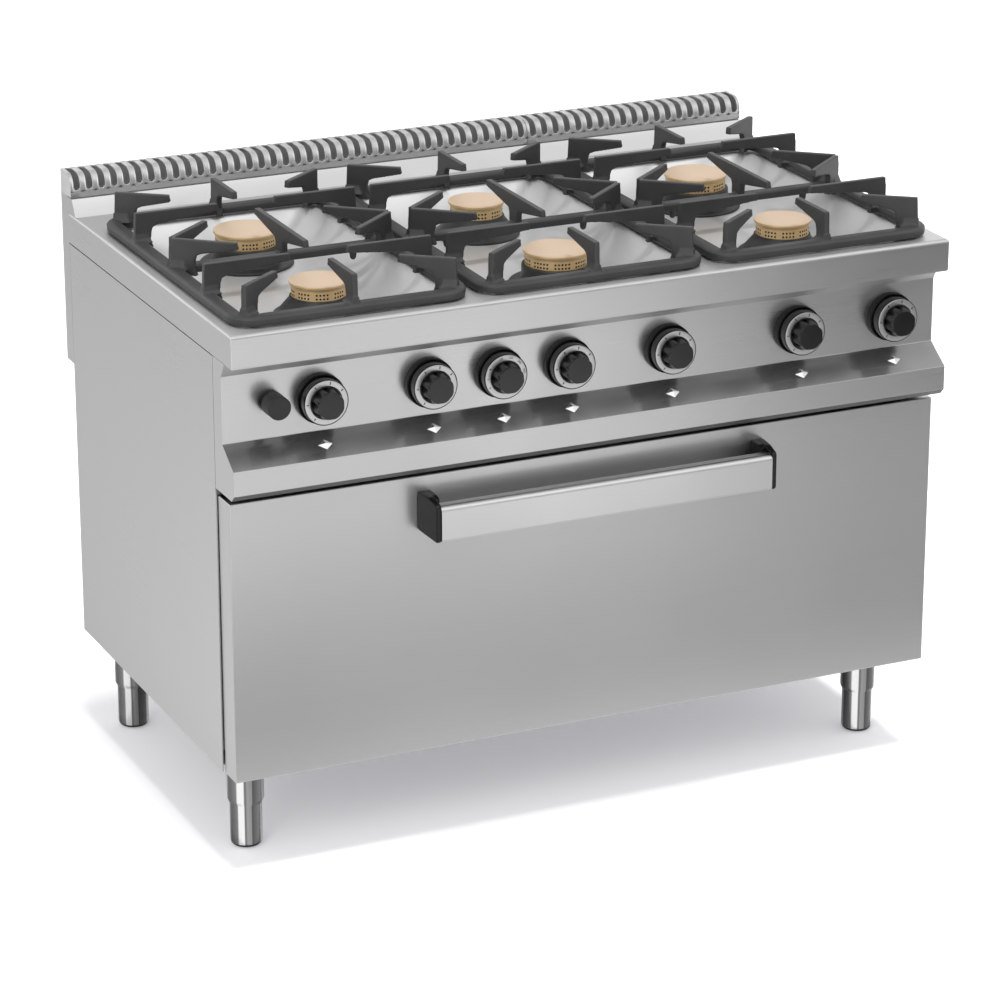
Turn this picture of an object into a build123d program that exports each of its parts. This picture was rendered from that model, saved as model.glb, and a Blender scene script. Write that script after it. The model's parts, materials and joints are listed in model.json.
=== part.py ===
from build123d import *
from math import atan2, cos, degrees, hypot, radians, sin
import os

# Commercial gas range: six open burners under three cast iron grates, on a full-width gas oven.
# Everything is drawn with y = 0 at the front face of the worktop, y growing to the back, and z = 0
# on the floor. It is then moved so that the origin is the bottom centre of the whole range.
# All sizes are millimetres.

# ---- Overall size
WIDTH = 1200.0
DEPTH = 750.0              # worktop front to the back of the flue box
WORKTOP_Z = 870.0
HANDLE_REACH = 28.0        # the door handle's front, ahead of the worktop's front
SHIFT_Y = (HANDLE_REACH - DEPTH) / 2
HALF = WIDTH / 2
SHEET = 1.5                # casing steel
GAP = 0.3                  # between parts that move apart

# ---- Casing
SKIRT_BOTTOM = WORKTOP_Z - 50.0
SEAM = 1.0
BODY_BOTTOM = 155.0
BODY_FRONT = 76.0
BODY_BACK = DEPTH - 33.0
FLUE_BOTTOM = 617.0
FLUE_TAIL_BOTTOM = 447.0
FLUE_TAIL_HALF = 160.0
CAP_FRONT = DEPTH - 50.0
CAP_BOTTOM = WORKTOP_Z + 28.0
CAP_TOP = WORKTOP_Z + 66.0
CAP_SEAM_X = 200.0
CAP_RADIUS = 20.0
SLOTS_LEFT = 38
SLOTS_RIGHT = 19
SLOT_WIDTH = 10.5
BASE_FRONT = 100.0

# ---- Control panel
PANEL_Y = 44.0
PANEL_TOP = 796.0
PANEL_BOTTOM = 692.0
NOSE_TOP = 662.0
NOSE_BOTTOM = 624.0
STRIP_Y = 29.0
KNOB_Z = 744.0
KNOB_RADIUS = 35.5
KNOB_X = [-446.0, -270.0, -155.0, -41.0, 130.0, 355.0, 520.0]
OVEN_KNOB = 2
IGNITER_X = -523.0
IGNITER_Z = 748.0

# ---- Burners and grates
COLUMN_X = [-394.0, 0.0, 394.0]
GRATE_FRONT = 18.0
GRATE_LENGTH = 596.0
GRATE_WIDTH = 380.0
GRATE_MID = GRATE_FRONT + GRATE_LENGTH / 2
BURNER_PITCH = GRATE_LENGTH / 2
ROW_Y = [GRATE_MID - BURNER_PITCH / 2, GRATE_MID + BURNER_PITCH / 2]
LARGE_BURNERS = [(0, 1), (1, 0), (2, 1)]
SMALL_BURNERS = [(0, 0), (1, 1), (2, 0)]
FRAME_BAR = 24.0
FRAME_Z = [WORKTOP_Z + 4.5, WORKTOP_Z + 18.0]
FINGER_TOP = WORKTOP_Z + 62.0
BLADE = 9.0
PAN_FLOOR = WORKTOP_Z - 42.0
PAN_SHEET = 1.2
BURNER_RIM = WORKTOP_Z - 8.0
CAP_RIM = WORKTOP_Z + 16.0
NECK_BOTTOM = WORKTOP_Z - 75.0
NECK_RADIUS = 22.0

# ---- Oven
DOOR_FRONT = 30.0
DOOR_BACK = 74.0
DOOR_HALF = 597.0
DOOR_Z = [153.0, 602.0]
DOOR_SHEET = 1.2
HINGE_Y = 82.0
HINGE_Z = 166.0
HINGE_PIN = 5.0
PIN_CLEARANCE = 0.06
DOOR_SWING_TOP = 190.0     # the door's rear corner passes below this as it opens
OVEN_HALF = 490.0
OVEN_Z = [206.0, 554.0]
OVEN_FRONT = 86.0
OVEN_BACK = 650.0
LINER_SHEET = 1.2
FRONT_FRAME_Z = [184.0, 600.0]
INSULATION = 48.0
RACK_Z = 400.0
HANDLE_HALF = 295.0
HANDLE_CAP = 15.0
HANDLE_Z = [512.0, 569.0]

# ---- Feet
LEG_X = 541.0
LEG_Y = [138.0, 653.0]
SLEEVE_RADIUS = 28.5
FOOT_RADIUS = 25.0
SLEEVE_BOTTOM = 72.0

# ---- Gas line
MANIFOLD_Y = 99.0
MANIFOLD_Z = [693.0, 719.0]
TAP_BACK = 112.0
TAP_TOP = 768.0
SPINDLE = 4.0
INLET_RADIUS = 13.2
INLET_X = 567.0
INLET_Z = 300.0
OVEN_PIPE_Y = 350.0
OVEN_PIPE_Z = 232.0
FLUE_MOUTH = [-62.0, 62.0, 468.0, 532.0]


def block(x, y, z):
    """A box between two x, two y and two z values."""
    size = (x[1] - x[0], y[1] - y[0], z[1] - z[0])
    return Pos((x[0] + x[1]) / 2, (y[0] + y[1]) / 2, (z[0] + z[1]) / 2) * Box(*size)


def mirrored(x, y, z):
    """The same box on the right and on the left."""
    return [block(x, y, z), block((-x[1], -x[0]), y, z)]


def post(x, y, z, radius):
    return Pos(x, y, (z[0] + z[1]) / 2) * Cylinder(radius, z[1] - z[0])


def rod_y(x, y, z, radius):
    """A round bar along y, between two y values."""
    return Pos(x, (y[0] + y[1]) / 2, z) * Rot(90, 0, 0) * Cylinder(radius, y[1] - y[0])


def rod_x(x, y, z, radius):
    """A round bar along x, between two x values."""
    return Pos((x[0] + x[1]) / 2, y, z) * Rot(0, 90, 0) * Cylinder(radius, x[1] - x[0])


def section(points, x):
    """A y-z outline carried along x, between two x values."""
    face = make_face(Polyline(*points, close=True))
    return Pos(x[0], 0, 0) * extrude(Plane.YZ * face, amount=x[1] - x[0])


def rounded(centre, size, radius, z):
    """An upright slab with rounded corners."""
    face = RectangleRounded(size[0], size[1], radius)
    return Pos(centre[0], centre[1], z[0]) * extrude(face, amount=z[1] - z[0])


def turned(points, x, y):
    """A radius-height outline turned about an upright axis."""
    face = Plane.XZ * make_face(Polyline(*points, close=True))
    return Pos(x, y, 0) * revolve(face, Axis.Z, 360)


def pipe(points, bend, radius):
    path = FilletPolyline(*points, radius=bend)
    start = Plane(path @ 0, z_dir=path % 0)
    return sweep(start * Circle(radius), path=path)


def write(name, shapes):
    """Moves the solids into the part's frame and writes one node."""
    shapes = shapes if isinstance(shapes, (list, tuple)) else [shapes]
    solids = [solid for shape in shapes for solid in (Pos(0, SHIFT_Y, 0) * shape).solids()]
    node = solids[0] if len(solids) == 1 else Compound(children=solids)
    node.label = name
    export_step(node, f"parts/{name}.step")


def side_panel():
    """The right-hand side: a sheet folded in at the back, and at the front above the door's hinge."""
    back = BODY_BACK - SHEET
    front, top = BODY_FRONT + SEAM, SKIRT_BOTTOM - SEAM
    panel = block((HALF - SHEET, HALF), (front, back), (BODY_BOTTOM, top))
    fold_front = block((HALF - 8, HALF), (front, front + SHEET), (DOOR_SWING_TOP, top))
    fold_back = block((HALF - 20, HALF), (back - SHEET, back), (BODY_BOTTOM, top))
    return panel + fold_front + fold_back


def back_panel():
    """Closes the back, with openings for the oven's flue and the gas pipe."""
    panel = block((-HALF, HALF), (BODY_BACK - SHEET, BODY_BACK), (BODY_BOTTOM, SKIRT_BOTTOM))
    flue = block(FLUE_MOUTH[:2], (BODY_BACK - 10, BODY_BACK + 10), FLUE_MOUTH[2:])
    gas = rod_y(INLET_X, (BODY_BACK - 10, BODY_BACK + 10), INLET_Z, INLET_RADIUS + 2)
    return panel - flue - gas


def base_panel():
    """The floor of the casing: a tray between the side panels, with its rim folded up."""
    inner = HALF - SHEET
    back = BODY_BACK - 2 * SHEET
    tray = block((-inner, inner), (BASE_FRONT, back), (BODY_BOTTOM, BODY_BOTTOM + 20))
    well = block((-inner + 2, inner - 2), (BASE_FRONT + 2, back - 2), (BODY_BOTTOM + 2, BODY_BOTTOM + 21))
    tray -= well
    for notch in mirrored((584, 593), (BASE_FRONT - 1, BASE_FRONT + 3), (BODY_BOTTOM + 2, BODY_BOTTOM + 21)):
        tray -= notch
    return tray


def worktop():
    """Pressed top with a skirt, three cut-outs and a lip under its front edge."""
    thick = 2.0
    outer = block((-HALF, HALF), (0, BODY_BACK), (SKIRT_BOTTOM, WORKTOP_Z))
    front = outer.edges().filter_by(Axis.X).group_by(Axis.Y)[0].group_by(Axis.Z)[-1]
    corners = outer.edges().filter_by(Axis.Z).group_by(Axis.Y)[0]
    outer = fillet(list(front) + list(corners), 6)
    hollow = block((-HALF + thick, HALF - thick), (thick, BODY_BACK - thick), (SKIRT_BOTTOM - 1, WORKTOP_Z - thick))
    lip = block((-HALF + thick, HALF - thick), (thick, STRIP_Y + 8), (SKIRT_BOTTOM, SKIRT_BOTTOM + SHEET))
    top = outer - hollow + lip
    for x in COLUMN_X:
        top -= rounded((x, GRATE_MID), pan_size(0.5), 44, (WORKTOP_Z - 10, WORKTOP_Z + 1))
    return top


def pan_size(grow):
    """The pan's outline at its walls, grown on every side."""
    return (340 + 2 * grow, GRATE_LENGTH - 56 + 2 * grow)


def burner_pan(x):
    """Stainless pan hung in the worktop by its rim, with a hole for each burner's neck."""
    centre = (x, GRATE_MID)
    rim = rounded(centre, pan_size(7), 50, (WORKTOP_Z, WORKTOP_Z + PAN_SHEET))
    well = rounded(centre, pan_size(0), 43, (PAN_FLOOR, WORKTOP_Z + PAN_SHEET))
    inside = rounded(centre, pan_size(-PAN_SHEET), 42, (PAN_FLOOR + PAN_SHEET, WORKTOP_Z + 5))
    pan = rim + well - inside
    for y in ROW_Y:
        pan -= post(x, y, (PAN_FLOOR - 5, PAN_FLOOR + 5), NECK_RADIUS + 3)
    return pan


def control_panel_outline(inset):
    """The panel's end profile: strip, face, slope, nose and chamfer."""
    points = [
        (STRIP_Y, SKIRT_BOTTOM),
        (PANEL_Y, PANEL_TOP),
        (PANEL_Y, PANEL_BOTTOM),
        (0, NOSE_TOP),
        (0, NOSE_BOTTOM),
        (10, NOSE_BOTTOM - 10),
        (BODY_FRONT, NOSE_BOTTOM - 10),
        (BODY_FRONT, SKIRT_BOTTOM),
    ]
    face = make_face(Polyline(*points, close=True))
    return offset(face, amount=-inset, kind=Kind.INTERSECTION) if inset else face


def control_panel():
    """Folded front with closed ends, open at the back, drilled for the knobs and the igniter."""
    outer = Pos(-HALF, 0, 0) * extrude(Plane.YZ * control_panel_outline(0), amount=WIDTH)
    inner_half = HALF - SHEET
    hollow = Pos(-inner_half, 0, 0) * extrude(Plane.YZ * control_panel_outline(SHEET), amount=2 * inner_half)
    back_z = (NOSE_BOTTOM - 10 + SHEET, SKIRT_BOTTOM - SHEET)
    open_back = block((-inner_half, inner_half), (BODY_FRONT - 5, BODY_FRONT + 5), back_z)
    panel = outer - hollow - open_back
    for x in KNOB_X:
        panel -= rod_y(x, (PANEL_Y - 5, PANEL_Y + 5), KNOB_Z, 9)
    return panel - rod_y(IGNITER_X, (PANEL_Y - 5, PANEL_Y + 5), IGNITER_Z, 8)


def index_marker(x):
    """A low diamond stud on the sloping strip, under a knob."""
    run = (PANEL_Y, PANEL_BOTTOM - NOSE_TOP)
    length = hypot(*run)
    middle = (x, PANEL_Y / 2, (PANEL_BOTTOM + NOSE_TOP) / 2)
    slope = Plane(origin=middle, x_dir=(1, 0, 0), z_dir=(0, -run[1] / length, run[0] / length))
    diamond = Rot(0, 0, 45) * Rectangle(12, 12)
    return extrude(slope * diamond, amount=4, taper=50)


def splash_panel():
    """The short sloping upstand between the worktop and the flue cap."""
    low, high = BODY_BACK - 35, CAP_FRONT - 2
    top = CAP_BOTTOM - SHEET
    face = [(low, WORKTOP_Z), (high, top), (BODY_BACK, top), (BODY_BACK, top - SHEET), (high + 1, top - SHEET)]
    sheet = section(face + [(low + 2, WORKTOP_Z)], (-HALF, HALF))
    end = [(low, WORKTOP_Z), (high, top), (BODY_BACK, top), (BODY_BACK, WORKTOP_Z)]
    right = section(end, (HALF - SHEET, HALF))
    left = section(end, (-HALF, -HALF + SHEET))
    return sheet + right + left


def flue_box():
    """The duct behind the body, open at the top. Its narrow tail takes the oven's flue."""
    y = (BODY_BACK, DEPTH)
    y_past = (BODY_BACK - 1, DEPTH + 1)
    z_past = (FLUE_TAIL_BOTTOM - 1, FLUE_BOTTOM)
    outer = block((-HALF, HALF), y, (FLUE_TAIL_BOTTOM, CAP_BOTTOM))
    outer -= block((-HALF - 1, -FLUE_TAIL_HALF), y_past, z_past)
    outer -= block((FLUE_TAIL_HALF, HALF + 1), y_past, z_past)
    y_in = (BODY_BACK + SHEET, DEPTH - SHEET)
    tail_half = FLUE_TAIL_HALF - SHEET
    hollow = block((-HALF + SHEET, HALF - SHEET), y_in, (FLUE_BOTTOM + SHEET, CAP_BOTTOM + 1))
    tail = block((-tail_half, tail_half), y_in, (FLUE_TAIL_BOTTOM + SHEET, FLUE_BOTTOM + 5))
    mouth = block(FLUE_MOUTH[:2], (BODY_BACK - 1, BODY_BACK + 10), FLUE_MOUTH[2:])
    return outer - hollow - tail - mouth


def flue_cap(x, slots):
    """Slotted cap over the duct, rounded over at the front, with closed ends."""
    def body(inset):
        r = CAP_RADIUS - inset
        front, back, top = CAP_FRONT + inset, DEPTH - inset, CAP_TOP - inset
        lines = Line((front, CAP_BOTTOM), (front, top - r))
        lines += RadiusArc((front, top - r), (front + r, top), r)
        lines += Polyline((front + r, top), (back, top), (back, CAP_BOTTOM), (front, CAP_BOTTOM))
        face = Plane.YZ * make_face(lines)
        return Pos(x[0] + inset, 0, 0) * extrude(face, amount=x[1] - x[0] - 2 * inset)

    shell = body(0) - body(SHEET)
    pitch = (x[1] - x[0]) / slots
    low = CAP_BOTTOM + 14
    for n in range(slots):
        middle = x[0] + (n + 0.5) * pitch
        across = (middle - SLOT_WIDTH / 2, middle + SLOT_WIDTH / 2)
        shell -= block(across, (CAP_FRONT - 1, DEPTH - 8), (low, CAP_TOP + 1))
    return shell


def oven_liner():
    """Steel oven tunnel with the front frame that the seal sits on."""
    x = (-OVEN_HALF - LINER_SHEET, OVEN_HALF + LINER_SHEET)
    z = (OVEN_Z[0] - LINER_SHEET, OVEN_Z[1] + LINER_SHEET)
    outer = block(x, (OVEN_FRONT, OVEN_BACK), z)
    frame = block((-585, 585), (OVEN_FRONT - 2, OVEN_FRONT), FRONT_FRAME_Z)
    hollow = block((-OVEN_HALF, OVEN_HALF), (OVEN_FRONT - 5, OVEN_BACK + 5), OVEN_Z)
    gas = rod_x((-OVEN_HALF - 5, -OVEN_HALF + 5), OVEN_PIPE_Y, OVEN_PIPE_Z, 8)
    return outer + frame - hollow - gas


def oven_rear_wall():
    """Sheet that closes the tunnel, with the mouth of the flue."""
    x = (-OVEN_HALF - LINER_SHEET, OVEN_HALF + LINER_SHEET)
    z = (OVEN_Z[0] - LINER_SHEET, OVEN_Z[1] + LINER_SHEET)
    wall = block(x, (OVEN_BACK, OVEN_BACK + LINER_SHEET), z)
    return wall - block((-55, 55), (OVEN_BACK - 5, OVEN_BACK + 5), (475, 525))


def oven_insulation():
    """Mineral wool around the liner."""
    half = OVEN_HALF + INSULATION
    wool = block((-half, half), (OVEN_FRONT + 4, 699), (BODY_BOTTOM + 21, OVEN_Z[1] + 44))
    x = (-OVEN_HALF - LINER_SHEET, OVEN_HALF + LINER_SHEET)
    z = (OVEN_Z[0] - LINER_SHEET, OVEN_Z[1] + LINER_SHEET)
    wool -= block(x, (OVEN_FRONT, OVEN_BACK + LINER_SHEET), z)
    wool -= block((-60, 60), (OVEN_BACK, 700), (470, 530))
    return wool - rod_x((-half - 5, -OVEN_HALF), OVEN_PIPE_Y, OVEN_PIPE_Z, 8)


def oven_flue_duct():
    """Square duct from the oven's back wall to the flue box."""
    outer = block((-60, 60), (OVEN_BACK + LINER_SHEET, BODY_BACK + SHEET), (470, 530))
    return outer - block((-55, 55), (OVEN_BACK - 5, BODY_BACK + 5), (475, 525))


def oven_sole_plate():
    """The oven's floor plate on its two side rails, over the burner."""
    plate = block((-470, 470), (110, 630), (262, 268))
    rails = mirrored((462, 470), (110, 630), (OVEN_Z[0], 263))
    return plate + rails[0] + rails[1] - rod_x((-480, -450), OVEN_PIPE_Y, OVEN_PIPE_Z, 8)


def oven_burner():
    """Tube burner on two brackets, under the sole plate."""
    tube = rod_x((-400, 400), OVEN_PIPE_Y, OVEN_PIPE_Z, 16)
    for x in (-300, 300):
        tube += block((x - 10, x + 10), (OVEN_PIPE_Y - 6, OVEN_PIPE_Y + 6), (OVEN_Z[0], OVEN_PIPE_Z - 7))
    return tube


def rack_guide():
    """The right-hand guide: a plate with a ledge for each rack height."""
    guide = block((OVEN_HALF - 3, OVEN_HALF), (130, 620), (290, 520))
    for z in (330, RACK_Z - 4, 470):
        guide += block((OVEN_HALF - 18, OVEN_HALF), (130, 620), (z, z + 4))
    return guide


def oven_rack():
    """Welded wire rack that rests on a pair of ledges."""
    frame_x, y = 480.0, (140.0, 610.0)
    wire = 4.0
    rack = rod_y(-frame_x, y, RACK_Z + wire, wire) + rod_y(frame_x, y, RACK_Z + wire, wire)
    for edge in y:
        rack += rod_x((-frame_x, frame_x), edge, RACK_Z + wire, wire)
    for n in range(1, 24):
        rack += rod_y(-frame_x + n * frame_x / 12, y, RACK_Z + wire, 2.0)
    return rack


def door_seal():
    """Seal around the oven's mouth, on the front frame."""
    y = (DOOR_BACK + 0.5, OVEN_FRONT - 2)
    ring = block((-OVEN_HALF - 22, OVEN_HALF + 22), y, (OVEN_Z[0] - 12, OVEN_Z[1] + 22))
    return ring - block((-OVEN_HALF - 2, OVEN_HALF + 2), (y[0] - 5, y[1] + 5), (OVEN_Z[0] + 10, OVEN_Z[1] + 2))


def hinge_bracket():
    """The right-hand hinge: a plate on the base with the pin that the door turns on."""
    nose = 6.0
    plate = block((586, 591), (HINGE_Y, 150), (HINGE_Z - nose, HINGE_Z + nose))
    plate += rod_x((586, 591), HINGE_Y, HINGE_Z, nose)
    plate += block((586, 591), (BASE_FRONT + 8, 150), (BODY_BOTTOM + 2, 200))
    return plate + rod_x((568, 591), HINGE_Y, HINGE_Z, HINGE_PIN)


def door_hinge_arm():
    """The right-hand arm behind the door, bored for the hinge pin."""
    x = (572, 583)
    eye = HINGE_Y - DOOR_BACK
    arm = block(x, (DOOR_BACK, HINGE_Y), (HINGE_Z - eye, HINGE_Z + eye)) + rod_x(x, HINGE_Y, HINGE_Z, eye)
    return arm - rod_x((x[0] - 5, x[1] + 5), HINGE_Y, HINGE_Z, HINGE_PIN + PIN_CLEARANCE)


def door_outer_panel():
    """The door's outer skin, folded back on all four sides."""
    outer = block((-DOOR_HALF, DOOR_HALF), (DOOR_FRONT, DOOR_BACK), DOOR_Z)
    inner_half = DOOR_HALF - DOOR_SHEET
    z = (DOOR_Z[0] + DOOR_SHEET, DOOR_Z[1] - DOOR_SHEET)
    return outer - block((-inner_half, inner_half), (DOOR_FRONT + DOOR_SHEET, DOOR_BACK + 1), z)


def door_inner_panel():
    """Closes the door's back, with a raised middle that fills the oven's mouth."""
    half = DOOR_HALF - DOOR_SHEET
    z = (DOOR_Z[0] + DOOR_SHEET, DOOR_Z[1] - DOOR_SHEET)
    sheet = block((-half, half), (DOOR_BACK - DOOR_SHEET, DOOR_BACK), z)
    middle = (OVEN_Z[0] + 16, OVEN_Z[1] - 4)
    raised = block((-OVEN_HALF + 6, OVEN_HALF - 6), (DOOR_BACK - DOOR_SHEET, DOOR_BACK + 7), middle)
    pocket_z = (middle[0] + DOOR_SHEET, middle[1] - DOOR_SHEET)
    pocket = block((-OVEN_HALF + 7.2, OVEN_HALF - 7.2), (DOOR_BACK - 5, DOOR_BACK + 7 - DOOR_SHEET), pocket_z)
    return sheet + raised - pocket


def door_insulation():
    y = (DOOR_FRONT + DOOR_SHEET, DOOR_BACK - DOOR_SHEET)
    return block((-560, 560), y, (DOOR_Z[0] + 25, DOOR_Z[1] - 15))


def handle_bar():
    """Extruded bar with a rounded top edge and a hollow back."""
    y, z = (-HANDLE_REACH, -HANDLE_REACH + 24), HANDLE_Z
    outline = [(y[0], z[0]), (y[0], z[1] - 10), (y[0] + 8, z[1]), (y[1], z[1])]
    outline += [(y[1], z[1] - 4), (y[0] + 9, z[1] - 4), (y[0] + 4, z[1] - 11), (y[0] + 4, z[0] + 4)]
    outline += [(y[1], z[0] + 4), (y[1], z[0])]
    return section(outline, (-HANDLE_HALF + HANDLE_CAP, HANDLE_HALF - HANDLE_CAP))


def handle_end_cap():
    """The right-hand cap: it carries the bar, and its wider foot stands on the door's face."""
    low, high = HANDLE_Z[0] - 2, HANDLE_Z[1] + 8
    y = -HANDLE_REACH
    bend, foot_y = y + 36, y + 25
    outline = [(DOOR_FRONT, low + 6), (DOOR_FRONT, high), (bend, high), (y, high - 11), (y, low + 6), (y + 6, low)]
    foot = [(DOOR_FRONT, low + 6), (DOOR_FRONT, high), (bend, high), (foot_y, high - 3), (foot_y, low + 5)]
    cap = section(outline, (HANDLE_HALF - HANDLE_CAP, HANDLE_HALF))
    return cap + section(foot, (HANDLE_HALF - 22, HANDLE_HALF - HANDLE_CAP))


def leg_sleeve(x, y):
    """Steel tube under the base that the foot slides in."""
    tube = post(x, y, (SLEEVE_BOTTOM, BODY_BOTTOM), SLEEVE_RADIUS)
    tube = chamfer(tube.faces().sort_by(Axis.Z)[0].edges(), 3)
    return tube - post(x, y, (SLEEVE_BOTTOM - 5, BODY_BOTTOM - 3), FOOT_RADIUS + GAP)


def foot(x, y):
    """Adjustable foot with a rounded base."""
    stem = post(x, y, (0, BODY_BOTTOM - 6), FOOT_RADIUS)
    return fillet(stem.faces().sort_by(Axis.Z)[0].edges(), 6)


def gas_manifold():
    """Square feed tube behind the control panel, closed at its left end."""
    y = (MANIFOLD_Y - 13, MANIFOLD_Y + 13)
    tube = block((-545, 545), y, MANIFOLD_Z)
    return tube - block((-542, 546), (y[0] + 2, y[1] - 2), (MANIFOLD_Z[0] + 2, MANIFOLD_Z[1] - 2))


def tap_body(x):
    """A burner's gas tap: body on the manifold, and a spindle out through the control panel."""
    tap = block((x - 15, x + 15), (62, TAP_BACK), (MANIFOLD_Z[1], TAP_TOP))
    return tap + rod_y(x, (8, 64), KNOB_Z, SPINDLE)


def thermostat_body(x):
    """The oven's tap and thermostat, longer than a burner's tap."""
    tap = block((x - 20, x + 20), (58, TAP_BACK + 30), (MANIFOLD_Z[1], TAP_TOP + 12))
    return tap + rod_y(x, (8, 64), KNOB_Z, SPINDLE)


def burner_taps():
    """Pairs each burner with its tap: left to right, the rear burner's tap first."""
    taps = [x for n, x in enumerate(KNOB_X) if n != OVEN_KNOB]
    burners = [(column, row) for column in range(3) for row in (1, 0)]
    return list(zip(taps, burners))


def burner_pipe(order, tap_x, column, row):
    """Bent tube from a tap to the underside of a burner's neck, at a height of its own."""
    level = 640 + 16 * order
    cross_y = 130 + 16 * order
    end_x, end_y = COLUMN_X[column], ROW_Y[row]
    run_x = end_x + 50 if row else end_x
    points = [(tap_x, TAP_BACK, 752), (tap_x, cross_y, 752), (tap_x, cross_y, level), (run_x, cross_y, level)]
    points += [(run_x, end_y, level)]
    if row:
        points += [(end_x, end_y, level)]
    return pipe(points + [(end_x, end_y, NECK_BOTTOM)], 6.5, 5)


def oven_pipe():
    """Bent tube from the thermostat to the oven's burner."""
    x = KNOB_X[OVEN_KNOB]
    side, turn_y, outlet_z, level = -566, 246, 740, 618
    points = [(x, TAP_BACK + 30, outlet_z), (x, turn_y, outlet_z), (x, turn_y, level), (side, turn_y, level)]
    points += [(side, OVEN_PIPE_Y, level), (side, OVEN_PIPE_Y, OVEN_PIPE_Z), (-400, OVEN_PIPE_Y, OVEN_PIPE_Z)]
    return pipe(points, 14, 5.5)


def gas_main_pipe():
    """Inlet at the back, joined to the manifold's right end."""
    points = [(INLET_X, DEPTH - 2, INLET_Z), (INLET_X, 680, INLET_Z), (INLET_X, 680, 706)]
    points += [(INLET_X, MANIFOLD_Y, 706), (545, MANIFOLD_Y, 706)]
    return pipe(points, 14, INLET_RADIUS - 0.7) + rod_y(INLET_X, (DEPTH - 26, DEPTH - 2), INLET_Z, INLET_RADIUS)


def burner_body(column, row, large):
    """Cast burner body standing on the pan, open at the top for its cap."""
    base, rim = PAN_FLOOR + PAN_SHEET, BURNER_RIM
    outer, mouth = (54, 46) if large else (45, 38)
    flange = 74 if large else 70
    shoulder = (outer, base + 5) if large else (flange - 4, base + 5)
    outline = [(17, NECK_BOTTOM + 5), (0, NECK_BOTTOM + 5), (0, NECK_BOTTOM), (NECK_RADIUS, NECK_BOTTOM)]
    outline += [(NECK_RADIUS, base), (flange, base), (flange, base + 4), shoulder, (outer, rim - 6)]
    outline += [(outer, rim), (mouth, rim), (mouth - 2, base + 12), (17, base + 8)]
    return turned(outline, COLUMN_X[column], ROW_Y[row])


def burner_cap(column, row, large):
    """Brass cap: a flat top over the ported ring, with a spigot in the body's mouth."""
    radius, mouth = (49, 46) if large else (42, 38)
    seat = BURNER_RIM + GAP
    spigot = mouth - 1
    outline = [(spigot - 3, seat - 7), (spigot, seat - 7), (spigot, seat), (radius, seat), (radius, CAP_RIM - 5)]
    outline += [(radius + 3, CAP_RIM - 4), (radius + 3, CAP_RIM - 1), (radius + 2, CAP_RIM), (0, CAP_RIM)]
    outline += [(0, CAP_RIM - 4), (spigot - 3, CAP_RIM - 4)]
    return turned(outline, COLUMN_X[column], ROW_Y[row])


def pilot_burner(column, row):
    """Pilot light beside a burner, with its bracket on the pan."""
    x, y = COLUMN_X[column] + 62, ROW_Y[row] + 62
    base = PAN_FLOOR + PAN_SHEET
    return post(x, y, (base, base + 28), 5) + block((x - 9, x + 9), (y - 7, y + 7), (base, base + 2))


def blade(centre, angle, tip, inner, outer):
    """One finger of a grate: a post on the frame and an arm towards the burner's axis."""
    low, top = FRAME_Z[1] - 6, FINGER_TOP
    outline = [(outer, low), (outer - 3, top), (tip, top), (tip - 3, top - 9), (inner - 8, top - 22)]
    outline += [(inner, top - 30), (inner, low)]
    face = make_face(Polyline(*outline, close=True))
    flat = extrude(Plane.XZ * face, amount=BLADE / 2, both=True)
    return Pos(centre[0], centre[1], 0) * Rot(0, 0, angle) * flat


def cross_blade(x):
    """The blade over the middle bar, with an arm towards each burner of the pair."""
    low, top = FRAME_Z[1] - 6, FINGER_TOP
    reach = BURNER_PITCH / 2 - 46
    outline = [(GRATE_MID - 14, low), (GRATE_MID - 16, top - 26), (GRATE_MID - reach, top - 10)]
    outline += [(GRATE_MID - reach + 3, top), (GRATE_MID + reach - 3, top), (GRATE_MID + reach, top - 10)]
    outline += [(GRATE_MID + 16, top - 26), (GRATE_MID + 14, low)]
    return section(outline, (x - BLADE / 2, x + BLADE / 2))


def grate(x):
    """Cast grate over a front and a rear burner, standing on small lugs."""
    centre = (x, GRATE_MID)
    inner = (GRATE_WIDTH - 2 * FRAME_BAR, GRATE_LENGTH - 2 * FRAME_BAR)
    frame = rounded(centre, (GRATE_WIDTH, GRATE_LENGTH), 42, FRAME_Z)
    frame -= rounded(centre, inner, 22, (FRAME_Z[0] - 1, FRAME_Z[1] + 1))
    half_x = GRATE_WIDTH / 2 - FRAME_BAR / 2
    frame += block((x - half_x, x + half_x), (GRATE_MID - 11, GRATE_MID + 11), FRAME_Z)
    side = GRATE_WIDTH / 2 - 4
    to_end = GRATE_LENGTH / 2 - BURNER_PITCH / 2
    corner = (GRATE_WIDTH / 2 - 22, to_end - 22)
    diagonal = hypot(*corner)
    for row, y in enumerate(ROW_Y):
        outward = 90 if row else -90
        for angle in (0, 180):
            frame += blade((x, y), angle, 48, side - 24, side)
        frame += blade((x, y), outward, 48, to_end - 26, to_end - 4)
        for sign in (1, -1):
            tilt = degrees(atan2(corner[1], sign * corner[0]))
            frame += blade((x, y), tilt if row else -tilt, diagonal - 86, diagonal - 20, diagonal + 4)
            elbow = (GRATE_WIDTH / 2 - 10, BURNER_PITCH / 2)
            lean = degrees(atan2(elbow[1], sign * elbow[0]))
            reach = hypot(*elbow)
            frame += blade((x, y), -lean if row else lean, reach - 106, reach - 26, reach)
    frame += cross_blade(x)
    for sign_x in (1, -1):
        for y in (GRATE_FRONT + 60, GRATE_FRONT + GRATE_LENGTH - 60):
            lug_x = x + sign_x * (GRATE_WIDTH / 2 - FRAME_BAR / 2)
            frame += post(lug_x, y, (WORKTOP_Z + PAN_SHEET, FRAME_Z[0] + 1), 6)
    return frame


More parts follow.
